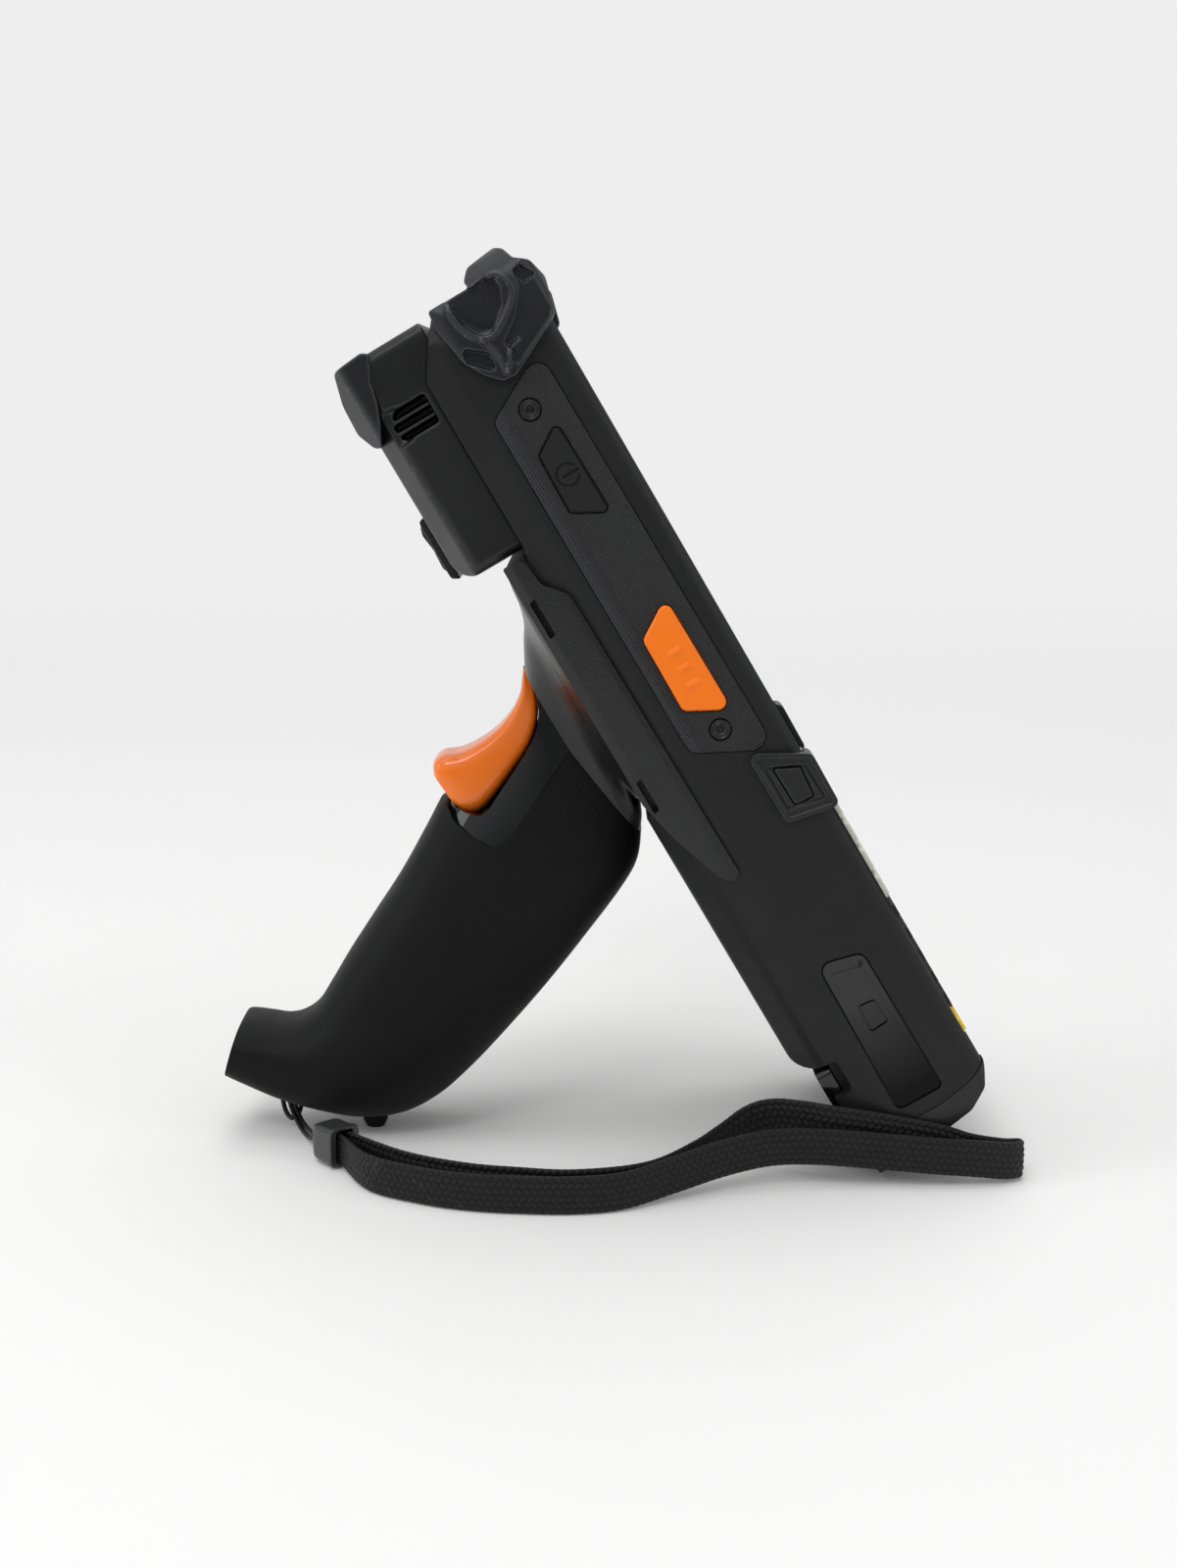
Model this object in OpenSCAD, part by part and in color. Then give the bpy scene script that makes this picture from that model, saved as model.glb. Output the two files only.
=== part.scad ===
// Handheld data collector: a rugged key-pad terminal carried on a pistol grip.
// It stands as an A-frame, on the heel of the terminal and on the foot of the grip.
//
// Outlines are written in the terminal's own frame: depth behind the front face, then height above
// the datum at the terminal's low end. Left is the side at negative Y, as the operator sees it.
// stand() leans everything back until heel and foot both touch the floor at Z = 0, and puts the
// middle of the foot at the origin.

/* [Housing] */
// Height of the top face above the datum
body_l = 217.5; // [212:0.5:228]
// Width across the side walls
body_w = 77; // [74:0.5:82]
// Depth of the side walls
side_d = 31.2; // [30:0.1:33]
// Depth of the low end, behind the battery latch
heel_d = 33; // [32.4:0.1:34]
// Wall thickness of the housings
wall = 2.6; // [2.2:0.1:3]
// Corner radius, seen from the front
corner_r = 9; // [6:0.5:11]
// Radius of the long front edges
edge_r = 3.5; // [2:0.25:4]
// Width of the rim round the front cover
rim_w = 2.2; // [1.8:0.1:2.6]
// Height of the parting line of the end cap
cap_h = 9.8; // [8.5:0.1:11]

/* [Front cover and display] */
// Thickness of the front cover
cover_t = 2.2; // [1.8:0.1:2.4]
// Thickness of the seal under the front cover
seal_t = 0.9; // [0.6:0.1:1.2]
// Width of the display glass
glass_w = 60; // [54:0.5:63]
// Length of the display glass
glass_l = 104; // [94:0.5:106]
// Thickness of the display glass
glass_t = 1.4; // [1:0.1:1.8]
// Thickness of the main board
board_t = 1.6; // [1:0.1:2]

/* [Keypad] */
// Clear width from the key columns to the side of the housing
key_margin = 5.5; // [5.2:0.1:6]
// Space between two keys of a row
key_space = 2.8; // [2.6:0.1:4]
// Pitch of the number rows
number_pitch = 7.1; // [6.8:0.1:7.3]
// Height of a number key
number_h = 6; // [5:0.1:6.2]
// Pitch of the letter rows
letter_pitch = 6; // [5.6:0.1:6.1]
// Height of a letter key
letter_h = 4.2; // [3.8:0.1:4.6]
// How far the number keys stand above the front cover
key_rise = 1.1; // [1:0.1:1.6]
// How far the letter keys stand above the front cover
letter_rise = 0.8; // [0.8:0.1:1.4]
// Travel of a key
key_travel = 0.7; // [0.4:0.1:0.8]

/* [Side panels and buttons] */
// Thickness of a side panel
panel_t = 1.5; // [1.2:0.1:1.8]
// How far a side panel stands proud
panel_rise = 0.3; // [0.1:0.1:0.5]
// How far the scan buttons stand above their panel
scan_rise = 0.9; // [0.7:0.1:1.2]
// How far the power button stands above its panel
power_rise = 0.4; // [0.2:0.1:0.6]
// Travel of the side buttons
side_travel = 0.6; // [0.4:0.1:0.8]
// Diameter of a case screw's head
screw_head = 4.4; // [4:0.1:5]
// Diameter of a case screw's shank
screw_shank = 2.5; // [2:0.1:3]

/* [Corner bumpers and clips] */
// Thickness of the corner bumpers over the corner of the housing
bumper_t = 2.4; // [2:0.1:3]
// How far the bumpers stand outside the housing
bumper_rise = 0.9; // [0.5:0.1:1.4]
// Height of the raised ribs on the bumpers
rib_h = 1.1; // [0.6:0.1:1.6]
// How far a bumper reaches in from the side of the housing
bumper_reach = 17; // [14:0.5:20]
// Thickness of the side clips
clip_t = 1.5; // [1.2:0.1:1.8]

/* [Head and camera] */
// Depth of the scanner head's flat back
head_d = 46.8; // [44:0.1:48]
// Height of the underside of the head
head_z = 164.8; // [163:0.1:168]
// Width of the head
head_w = 68.6; // [66:0.2:70]
// Width of the scan window
window_w = 34; // [28:0.5:38]
// Diameter of the camera lens
lens_dia = 8; // [6:0.5:9]

/* [Battery] */
// Depth of the back of the battery
battery_d = 38.3; // [37:0.1:39]
// Length of the battery
battery_l = 69.4; // [66:0.2:70]
// Travel of the battery latch
latch_travel = 3; // [2:0.5:3.5]

/* [Saddle] */
// Depth of the back of the saddle plate
saddle_d = 35.6; // [35:0.1:36]
// Thickness of the side rails
rail_t = 2.3; // [2:0.1:2.6]

/* [Grip] */
// Half width of the grip at its fullest
grip_half = 17.4; // [16:0.1:19]
// Wall thickness of the grip shells
grip_wall = 2.4; // [2:0.1:3]
// Diameter of the foot under the grip
foot_dia = 6; // [5:0.5:8]
// Height of the foot below the grip
foot_h = 3.6; // [3:0.1:4]

/* [Trigger] */
// Width of the trigger at its free end
trigger_w = 17; // [15:0.5:18]
// Width of the arm that carries the trigger
arm_w = 4.6; // [4:0.1:5]
// Width of the slot in the saddle for the arm and its spring
arm_slot_w = 8.8; // [8.4:0.2:10]
// Diameter of the trigger pin
pin_dia = 3; // [2.5:0.1:3.5]
// Radial running clearance of the trigger on its pin
pin_gap = 0.05; // [0.03:0.01:0.08]
// Angle that the trigger turns when pulled
trigger_pull = 7; // [5:0.5:7]

/* [Wrist strap] */
// Width of the webbing
band_w = 9; // [8:0.5:10]
// Thickness of the webbing
band_t = 1.4; // [1:0.1:1.6]
// Diameter of the string
string_dia = 1.2; // [1:0.1:1.4]

/* [Hidden] */

$fn = 48;
tiny = 0.01;
gap = 0.2;           // clearance between pieces that are fitted by hand
run_gap = 0.25;      // clearance round keys and buttons
half_w = body_w / 2;
col_pitch = (body_w - 2 * key_margin) / 5;
key_w = col_pitch - key_space;

// ---- Places, in the terminal's frame: [depth, height] ----
cover_d = 0.3;                            // front face of the cover, below the rim
cover_back = cover_d + cover_t;
ledge_d = cover_back + seal_t;            // ledge that carries the seal
key_back = cover_back + 0.6;              // back of a key's ears
mat_d = key_back + key_travel + 0.1;      // front of the key mat
board_d = mat_d + 1.3;                    // front of the main board
board_back = board_d + board_t;
rim_half = half_w - rim_w;
rim_z = cap_h + 2.9;
inner_half = half_w - wall;
bay_floor = 20;                           // floor of the battery bay
battery_z = 29;
battery_top = battery_z + battery_l;
seat_z = battery_top + 0.6;               // low end of the saddle's seat on the housing
seat_top = head_z - 1.4;
glass_z = body_l - 10 - glass_l;
seam_d = 30.2;                            // back edge of the side walls along the head
number_z = 80.2;                          // middle of the top number row
letter_z = number_z - 3 * number_pitch - (number_pitch + letter_pitch) / 2;
fn_z = letter_z - 5 * letter_pitch - 1;
panel_top = body_l - 19.2;
panel_low = 99.4;

foot_point = [136, 60.6];                 // where the foot meets the floor
heel_r = 1.5;
heel_drop = 0.6;
heel_centre = [heel_d - heel_r, heel_r - heel_drop];
heel_offset = foot_point - heel_centre;
lean = atan2(heel_offset[1], heel_offset[0]) + asin(heel_r / norm(heel_offset));

// ---- Outline helpers ----
function unit(v) = v / norm(v);

// One corner of an outline, as an arc of radius r between the sides towards a and c
function corner_arc(a, b, c, r, steps) =
    let (to_a = unit(a - b), to_c = unit(c - b), half = acos(to_a * to_c) / 2,
         middle = b + unit(to_a + to_c) * r / sin(half),
         first = b + to_a * r / tan(half) - middle, last = b + to_c * r / tan(half) - middle,
         sweep = 180 - 2 * half)
    [for (k = [0:steps])
        middle + (first * sin((1 - k / steps) * sweep) + last * sin(k / steps * sweep)) / sin(sweep)];

// An outline of [x, y] or [x, y, radius] corners, with the radii drawn
function rounded(corners, steps = 5) =
    let (n = len(corners), flat = [for (c = corners) [c[0], c[1]]])
    [for (i = [0:n - 1]) each (corners[i][2] == undef ? [flat[i]] :
        corner_arc(flat[(i + n - 1) % n], flat[i], flat[(i + 1) % n], corners[i][2], steps))];

function mirrored(corners) = concat(corners, [for (i = [len(corners) - 1:-1:0])
    [corners[i][0], -corners[i][1], corners[i][2]]]);

// Outline seen from the side, [depth, height, radius], drawn from y0 to y1
module prism(corners, y0, y1, steps = 5) {
    translate([0, max(y0, y1), 0]) rotate([90, 0, 0]) linear_extrude(abs(y1 - y0))
        polygon([for (p = rounded(corners, steps)) [-p[0], p[1]]]);
}

// Outline seen from the end, [depth, half width, radius], drawn from height z0 to z1
module section(corners, z0, z1) {
    translate([0, 0, z0]) linear_extrude(z1 - z0)
        polygon([for (p = rounded(mirrored(corners))) [-p[0], p[1]]]);
}

// Children drawn flat in [y, height] become a slab from depth d0 to d1
module slab(d0, d1) {
    translate([-d1, 0, 0]) rotate([90, 0, 90]) linear_extrude(d1 - d0) children();
}

// Rectangle with true round corners, centred on y and from height z0 to z1
module plate(half, z0, z1, r) {
    for (side = [-1, 1]) for (z = [z0 + r, z1 - r]) translate([side * (half - r), z]) circle(r);
    translate([-half + r, z0]) square([2 * (half - r), z1 - z0]);
    translate([-half, z0 + r]) square([2 * half, z1 - z0 - 2 * r]);
}

module pad(size, r) translate([0, -size[1] / 2]) plate(size[0] / 2, 0, size[1], r);

// Children drawn for the right side are copied to the given side
module to_side(side) { if (side > 0) children(); else mirror([0, 1, 0]) children(); }

// From the terminal's frame to the floor's
module stand() {
    rotate([0, -lean, 0]) translate([foot_point[0], 0, -foot_point[1]]) children();
}

// A closed tube of equal rings of 3-D points
module skin(rings) {
    n = len(rings[0]);
    last = (len(rings) - 1) * n;
    walls = [for (i = [0:len(rings) - 2]) for (j = [0:n - 1]) let (k = (j + 1) % n)
        each [[i * n + j, (i + 1) * n + k, i * n + k], [i * n + j, (i + 1) * n + j, (i + 1) * n + k]]];
    ends = [for (j = [1:n - 2]) each [[0, j, j + 1], [last, last + j + 1, last + j]]];
    polyhedron([for (r = rings) each r], concat(walls, ends));
}

// Smooth curve through rows of numbers, with a few steps between one row and the next
function spline_at(a, b, c, d, t) = 0.5 * (2 * b + (c - a) * t + (2 * a - 5 * b + 4 * c - d) * t * t
    + (3 * b - 3 * c + d - a) * t * t * t);
function spline(rows, steps) = let (n = len(rows)) concat(
    [for (i = [0:n - 2]) for (k = [0:steps - 1])
        spline_at(rows[max(i - 1, 0)], rows[i], rows[i + 1], rows[min(i + 2, n - 1)], k / steps)],
    [rows[n - 1]]);

// Oval ring between a front point and a back point, both [depth, height], with a half width
full_turn = [for (k = [0:23]) 15 * k + 7.5];
half_turn = [for (k = [0:12]) 15 * k];
function squared(v, power) = sign(v) * pow(abs(v), power);
function oval(row, inset, power, turns = full_turn) =
    let (front = [row[0], row[1]], back = [row[2], row[3]], across = unit(front - back),
         middle = (front + back) / 2, reach = norm(front - back) / 2 - inset, half = row[4] - inset)
    [for (turn = turns) let (p = middle + across * reach * squared(cos(turn), power))
        [-p[0], half * squared(sin(turn), power), p[1]]];
function part_of(rows, first, last) = [for (i = [first:last]) rows[i]];

// ---- Terminal housing ----
// Part line between the end cap and the body, seen from the side
function cap_line(rise) = [[-2, cap_h + 4.2 + rise], [5, cap_h + 1.4 + rise, 6], [13, cap_h + rise, 8],
    [60, cap_h + rise]];

rim_dip = 0.8;
body_profile = [[0, 4], [0, 44, 12], [rim_dip, 56, 12], [rim_dip, 84, 6], [0, 90, 6], [0, body_l, 1.5],
    [22, body_l, 1], [seam_d, body_l - 12, 4], [seam_d, head_z, 1],
    [side_d, head_z - 3, 1], [side_d, 28.5, 1], [heel_d, 27.5, 1], [heel_d, 4]];
body_section = [[0, half_w, edge_r], [24, half_w, 6], [heel_d + 1, half_w - 2.8]];

module housing_blank() {
    intersection() {
        prism(body_profile, -half_w, half_w);
        section(body_section, 0, body_l);
        slab(0, heel_d + 1) plate(half_w, 0, body_l, corner_r);
    }
}

// Corner of the housing that a bumper covers, seen from the side
function from_top(points) = [for (p = points) [p[0], body_l + p[1], p[2]]];
bumper_profile = from_top([[22.2, 0.4, 0.7], [22.7, -4, 3], [21.2, -12.4, 3], [18.4, -17.2, 2],
    [15.6, -20, 1], [12.6, -20.2, 1],
    [1.6, -14.9, 3], [-0.9, -13.2, 1.5], [-2.9, -5.6, 3], [-1.7, -1.1, 2], [1.1, 1, 1], [2, 3.8, 1.2],
        [3.6, 5.2, 1],
    [10.6, 4.2, 2], [12.6, 1.8, 0.8], [12.4, 0.4, 0.3]]);

module bumper_zone(side) to_side(side) prism(bumper_profile, half_w - bumper_reach, half_w + 5);

// The housing's own corner under a bumper
module corner_core() {
    core_half = half_w - bumper_t;
    intersection() {
        slab(bumper_t, 30) plate(core_half, 100, body_l - bumper_t, corner_r - bumper_t);
        section([[bumper_t, core_half, edge_r - 1], [24, core_half, 6], [30, core_half - 2]], 100, body_l);
    }
}

panel_outline = [[21.6, panel_low + 8.9, 2.5], [5, panel_low + 0.1, 3.2], [6.2, panel_top + 1.2, 3],
    [22.1, panel_top - 7.2, 2.5]];
power_outline = [[10.5, panel_top - 13.6, 1.2], [10, panel_top - 36.1, 1.2], [17.7, panel_top - 31.8, 1.2],
    [17.4, panel_top - 18, 1.2]];
scan_outline = [[9.3, panel_low + 41.2, 1.6], [8.9, panel_low + 12.7, 1.8], [18.3, panel_low + 17.8, 1.6],
    [18.1, panel_low + 35.6, 1.6]];
panel_screws = [[14, panel_top - 8.7], [13.3, panel_low + 10.1]];
dock_outline = [[21, 52.1, 2.2], [11.2, 49.6, 2], [10.7, 13.7, 1.2], [21.7, 13.7, 1.4]];
dock_field = [[19.7, 48.8, 0.6], [13, 47.3, 0.6], [12.2, 17.4, 0.5], [20.4, 16.4, 0.5]];
dock_catch = [[17.6, 39.2, 0.4], [14.2, 38.8, 0.4], [14.1, 33.4, 0.4], [17.9, 33.1, 0.4]];
dock_gap = 0.45;

// An outline grown on every side by an amount
function grown(corners, by) = let (n = len(corners)) [for (i = [0:n - 1])
    let (a = corners[(i + n - 1) % n], b = corners[i], c = corners[(i + 1) % n],
         into_b = unit([b[0] - a[0], b[1] - a[1]]), out_of_b = unit([c[0] - b[0], c[1] - b[1]]),
         side = sign(cross(into_b, out_of_b)),
         n1 = [into_b[1], -into_b[0]] * side, n2 = [out_of_b[1], -out_of_b[0]] * side,
         reach = (n1 + n2) / (1 + n1 * n2))
    [b[0] + reach[0] * by, b[1] + reach[1] * by, b[2] == undef ? undef : max(b[2] + by, 0.2)]];

panel_floor = half_w + panel_rise - panel_t;
button_back = panel_floor - 0.1;       // front of a side button's flange
flange_t = 0.8;
dock_floor = half_w - 1;

module body_housing() {
    color("#1b1c1e") difference() {
        union() {
            difference() {
                housing_blank();
                for (side = [-1, 1]) bumper_zone(side);
                prism(concat(cap_line(gap), [[60, -9], [-2, -9]]), -60, 60);
            }
            intersection() {
                corner_core();
                union() for (side = [-1, 1]) to_side(side)
                    prism(grown(bumper_profile, 0.5), half_w - bumper_reach - 0.5, half_w + 5);
                prism([[0, 100], [0, 300], [seam_d - 4, 300], [seam_d - 4, 100]], -60, 60);
            }
        }
        body_hollow();
        body_side_cuts();
        // head opening
        slab(wall + 8, 60) plate(27, head_z + 6, body_l - 5, 3);
        // battery bay, open at the back
        slab(bay_floor, 60) plate(33.4, battery_z - 0.4, battery_top + 0.4, 0.3);
        // nail notches at the ends of the latch
        for (side = [-1, 1]) to_side(side)
            prism([[28.4, 22, 1.8], [28.4, 30.4, 1.2], [40, 30.4], [40, 22]], 32, 60);
        // latch recess across the back of the low end
        slab(heel_d - 2.2, 60) plate(33.4, battery_z - 11.6 - latch_travel, battery_z, 1);
    }
    color("#1b1c1e") board_posts();
}

module body_hollow() {
    slab(-1, ledge_d) plate(rim_half, rim_z, body_l - rim_w, corner_r - rim_w);
    slab(ledge_d - 1, ledge_d + 1.7) plate(rim_half - 2, rim_z + 2, body_l - rim_w - 2, corner_r - rim_w - 2);
    slab(ledge_d + 1.6, bay_floor - wall) plate(inner_half, cap_h + 2.6, body_l - wall - 1, corner_r - wall);
    slab(bay_floor - wall - 1, side_d - wall) plate(inner_half - 2, seat_z + 2.4, head_z - 4, 3);
    slab(bay_floor - wall - 1, heel_d - 2 * wall) plate(inner_half - 2, cap_h + 2.6, battery_z - 3, 3);
}

module body_side_cuts() {
    for (side = [-1, 1]) to_side(side) {
        prism(grown(panel_outline, gap), panel_floor, half_w + 5);
        prism(grown(dock_outline, dock_gap), dock_floor, half_w + 5);
        prism(grown(scan_outline, 1.1), inner_half - 1, half_w + 5);
        prism(grown(power_outline, 1.1), inner_half - 1, half_w + 5);
        prism(rail_outline, half_w - rail_t, half_w + 5);
        for (p = panel_screws) translate([-p[0], half_w - 7, p[1]]) rotate([-90, 0, 0])
            cylinder(d = screw_shank + 0.02, h = 9);
    }
}

// Posts that carry the main board
post_z = [battery_z + 6, seat_z + 2, body_l - 14];
module board_posts() {
    for (y = [-1, 1]) for (z = post_z) translate([-board_back, y * (inner_half - 4.6), z])
        rotate([0, -90, 0]) cylinder(d = 5, h = bay_floor - wall - board_back + tiny);
    for (y = [-1, 1]) for (p = panel_screws) difference() {
        translate([-p[0], y * (half_w - 7), p[1]]) rotate([y * -90, 0, 0])
            cylinder(d = 5.6, h = 7 - wall + tiny);
        translate([-p[0], y * (half_w - 7.1), p[1]]) rotate([y * -90, 0, 0])
            cylinder(d = screw_shank + 0.02, h = 9);
    }
}

module end_cap() {
    color("#161718") difference() {
        intersection() {
            prism([[-0.4, 16], [-0.4, 13.2, 1], [2.4, 8.4, 3], [7.6, 4.8, 4], [heel_d, -heel_drop, heel_r],
                [heel_d, 16]],
                -half_w, half_w, 8);
            section([[-0.4, half_w, edge_r], [24, half_w, 6], [heel_d + 1, half_w - 2.8]], -2, 30);
            slab(-1, heel_d + 1) plate(half_w, -heel_drop, 60, corner_r);
            prism(concat(cap_line(0), [[60, -9], [-2, -9]]), -60, 60);
        }
        // rim that the front cover meets
        slab(-2, ledge_d) plate(rim_half, rim_z, 60, corner_r - rim_w);
        // contact recess in the low end
        translate([-21, 0, -1]) linear_extrude(3.6) square([9, 30], center = true);
        prism([[cover_d + 3, cap_h - 2.4, 1], [cover_d + 3, 30], [heel_d - 4, 30],
            [heel_d - 4, cap_h - 2.4, 1]], -30, 30);
    }
    // spring contacts in the recess
    color("#c9a24a") for (y = [-12:3:12]) translate([-21, y, 2.5]) rotate([0, 0, 90]) linear_extrude(1.2)
        square([1.6, 6], center = true);
}

// ---- Front ----
module front_cover() {
    cover_half = rim_half - gap;
    color("#202124") difference() {
        slab(cover_d, cover_back) plate(cover_half, rim_z + gap, body_l - rim_w - gap,
            corner_r - rim_w - gap);
        slab(-1, 9) plate(glass_w / 2 + gap, glass_z - gap, glass_z + glass_l + gap, 3);
        slab(-1, 9) key_field(run_gap);
        // earpiece slots
        slab(-1, 9) for (k = [-2:2]) translate([k * 4.2, body_l - 6.2]) pad([3, 1], 0.45);
    }
}

module front_seal() {
    color("#2b2b2b") slab(cover_back, ledge_d) difference() {
        plate(rim_half - gap, rim_z + gap, body_l - rim_w - gap, corner_r - rim_w - gap);
        plate(rim_half - 2, rim_z + 2, body_l - rim_w - 2, corner_r - rim_w - 2);
    }
}

module display_glass() {
    color("#0a0b0d") slab(cover_d + 0.15, cover_d + 0.15 + glass_t)
        plate(glass_w / 2, glass_z, glass_z + glass_l, 2.8);
}

module lcd_module() {
    color("#3a3f45") slab(cover_d + 0.15 + glass_t, board_d) plate(glass_w / 2 - 1.4, glass_z + 3,
        glass_z + glass_l - 3, 1);
}

module main_board() {
    low = cap_h + 8;
    high = body_l - 7;
    color("#1f5a35") slab(board_d, board_back) plate(inner_half - 1.4, low, high, 3);
    color("#222222") for (chip = [[-14, 120, 13], [10, 128, 10], [-12, 150, 8], [12, 160, 15], [0, 60, 12],
        [-16, 84, 9]])
        slab(board_back, board_back + 1.5) translate([chip[0], chip[1]]) square(chip[2], center = true);
}

speaker_z = body_l - rim_w - 5;
module speaker() {
    color("#26282b") slab(cover_back, board_d) translate([0, speaker_z]) difference() {
        pad([22, 5.4], 1);
        pad([18, 2], 0.8);
    }
}

// ---- Keys ----
key_cols = [-2, -1, 0, 1, 2];
nav_y = 1.5 * col_pitch;
nav_mid = number_z - number_pitch;
nav_size = [2 * col_pitch - 3.2, 3 * number_pitch - 1.8];
nav_r = 1.4;
scan_key_size = 8.4;
scan_key_gap = 0.8;    // moat between the middle key and the four arrows round it
nav_hole = scan_key_size + 2 * scan_key_gap;

module key_field(grow) {
    for (i = [0:11]) translate(number_place(i)) pad([key_w + 2 * grow, number_h + 2 * grow], 1 + grow);
    for (p = letter_places) translate(p) pad([key_w + 2 * grow, letter_h + 2 * grow], 1 + grow);
    translate([key_cols[0] * col_pitch, fn_z]) pad([key_w + 2 * grow, letter_h + 2 * grow], 1 + grow);
    translate([nav_y, nav_mid]) pad([nav_size[0] + 2 * grow, nav_size[1] + 2 * grow], nav_r + grow);
}

function number_place(i) = [key_cols[i % 3] * col_pitch, number_z - floor(i / 3) * number_pitch];
letter_places = concat(
    [for (c = [3, 4]) [key_cols[c] * col_pitch, number_z - 3 * number_pitch]],
    [for (r = [0:4]) for (c = key_cols) [c * col_pitch, letter_z - r * letter_pitch]],
    [for (c = [1:4]) [key_cols[c] * col_pitch, fn_z]]);

// A key: cap, bevelled crown and two ears that hold it behind the cover
module key(place, height, rise) {
    slab(cover_d - rise + 0.5, key_back) translate(place) pad([key_w, height], 1);
    slab(cover_d - rise, cover_d - rise + 0.6) translate(place) pad([key_w - 1, height - 1], 0.7);
    slab(cover_back + 0.1, key_back) translate(place) pad([key_w + 1.7, height - 1.2], 0.4);
}

module number_key(i) { color("#e9e6dc") key(number_place(i), number_h, key_rise); }
module letter_keys() { color("#26272a") for (p = letter_places) key(p, letter_h, letter_rise); }
module fn_key() { color("#f2c500") key([key_cols[0] * col_pitch, fn_z], letter_h, letter_rise); }

// An arrow of the navigation pad, with its ear on the side away from the middle
module nav_arrow(place, size, ear) {
    slab(cover_d - key_rise + 0.5, key_back) translate(place) pad(size, nav_r);
    slab(cover_d - key_rise, cover_d - key_rise + 0.6) translate(place) pad(size - [1, 1], nav_r - 0.4);
    slab(cover_back + 0.1, key_back) translate(place + ear / 2)
        pad(size + [abs(ear[0]), abs(ear[1])] - [abs(ear[1]), abs(ear[0])] * 4, 0.4);
}

module nav_pad() {
    wide = (nav_size[0] - nav_hole) / 2;
    high = (nav_size[1] - nav_hole) / 2;
    color("#303236") for (s = [-1, 1]) {
        nav_arrow([nav_y + s * (nav_hole + wide) / 2, nav_mid], [wide, nav_size[1]], [s * 0.7, 0]);
        nav_arrow([nav_y, nav_mid + s * (nav_hole + high) / 2], [nav_hole - 1, high], [0, s * 0.7]);
    }
}

module scan_key() {
    color("#ff7a1e") {
        slab(cover_d - key_rise + 0.6, key_back) translate([nav_y, nav_mid])
            pad([scan_key_size, scan_key_size], 2.4);
        slab(cover_d - key_rise + 0.1, cover_d - key_rise + 0.7) translate([nav_y, nav_mid])
            pad([scan_key_size - 1.2, scan_key_size - 1.2], 1.8);
    }
}

module keypad_mat() {
    color("#4a4d52") slab(mat_d, board_d) plate(inner_half - 2, fn_z - 5, number_z + 6, 2);
}

// ---- Sides ----
module side_panel(side) {
    color("#2c3034") to_side(side) difference() {
        prism(panel_outline, panel_floor, half_w + panel_rise);
        prism(grown(scan_outline, run_gap), half_w - 9, half_w + 9);
        prism(grown(power_outline, run_gap), half_w - 9, half_w + 9);
        for (p = panel_screws) translate([-p[0], half_w - 9, p[1]]) rotate([-90, 0, 0]) {
            cylinder(d = screw_shank + 0.3, h = 20);
            translate([0, 0, 9 + panel_rise - 0.7]) cylinder(d = screw_head + 0.8, h = 5);
        }
        // shallow bed under the row of micro ribs
        prism([[18.2, panel_low + 12], [18.2, panel_top - 10], [20.2, panel_top - 10],
            [20.2, panel_low + 12]],
            half_w + panel_rise - 0.12, half_w + 9);
    }
}

module side_button(outline, side, rise, drop = 0) {
    to_side(side) {
        prism(outline, button_back - drop - flange_t, half_w + panel_rise + rise - 0.3);
        prism(grown(outline, -0.35), half_w + panel_rise + rise - 0.4, half_w + panel_rise + rise);
        prism(grown(outline, 0.8), button_back - drop - flange_t, button_back - drop);
    }
}

module scan_button(side) {
    top = half_w + panel_rise + scan_rise;
    color("#ff7a1e") {
        side_button(scan_outline, side, scan_rise);
        to_side(side) for (k = [-1:1]) translate([-13.5, top - 0.1, panel_low + 25.9 + k * 4.05])
            rotate([-90, 0, 0])
            linear_extrude(0.3) pad([3.4, 1.4], 0.65);
    }
}

// Standby sign: a broken ring with a bar through the break
sign_place = [13.95, panel_top - 24.5];
sign_r = 2.7;
sign_line = 0.6;
module standby_sign() {
    difference() {
        circle(r = sign_r);
        circle(r = sign_r - sign_line);
        translate([-1, 0]) square([2, sign_r + 1]);
    }
    translate([-sign_line / 2, -1.3]) square([sign_line, sign_r + 1.2]);
}

module power_button() {
    top = half_w + panel_rise + power_rise;
    color("#232527") difference() {
        side_button(power_outline, -1, power_rise);
        translate([-sign_place[0], -top + 0.25, sign_place[1]]) rotate([90, 90, 0]) linear_extrude(1)
            standby_sign();
    }
}

rocker_pivot = [12.9, panel_top - 25];
module volume_rocker() {
    // round back that the rocker tilts on
    color("#232527") translate([-rocker_pivot[0], half_w - 2.2, rocker_pivot[1]]) rotate([0, 90, 0])
        cylinder(d = 1.8, h = 5, center = true);
    color("#232527") difference() {
        side_button(power_outline, 1, power_rise + 0.3, 0.5);
        // thumb dip between the two ends
        translate([-13, half_w + panel_rise + power_rise + 5.1, panel_top - 25.5]) rotate([0, 90, 0])
            cylinder(r = 5, h = 20, center = true);
    }
}

// A screw along +Y with its head up, its seat at the origin
module case_screw(length) {
    color("#15161a") rotate([-90, 0, 0]) difference() {
        union() {
            cylinder(d = screw_head, h = 0.9);
            translate([0, 0, -length]) cylinder(d = screw_shank, h = length);
        }
        translate([0, 0, 0.3]) cylinder(d = 2, h = 2, $fn = 6);
    }
}

grip_screws = [[72, 96], [124, 76]];
screw_seat_y = 11;
module case_screws() {
    for (side = [-1, 1]) for (p = panel_screws) to_side(side)
        translate([-p[0], half_w + panel_rise - 0.7, p[1]]) case_screw(5.4);
    for (p = grip_screws) translate([-p[0], screw_seat_y, p[1]]) case_screw(14);
}

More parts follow.
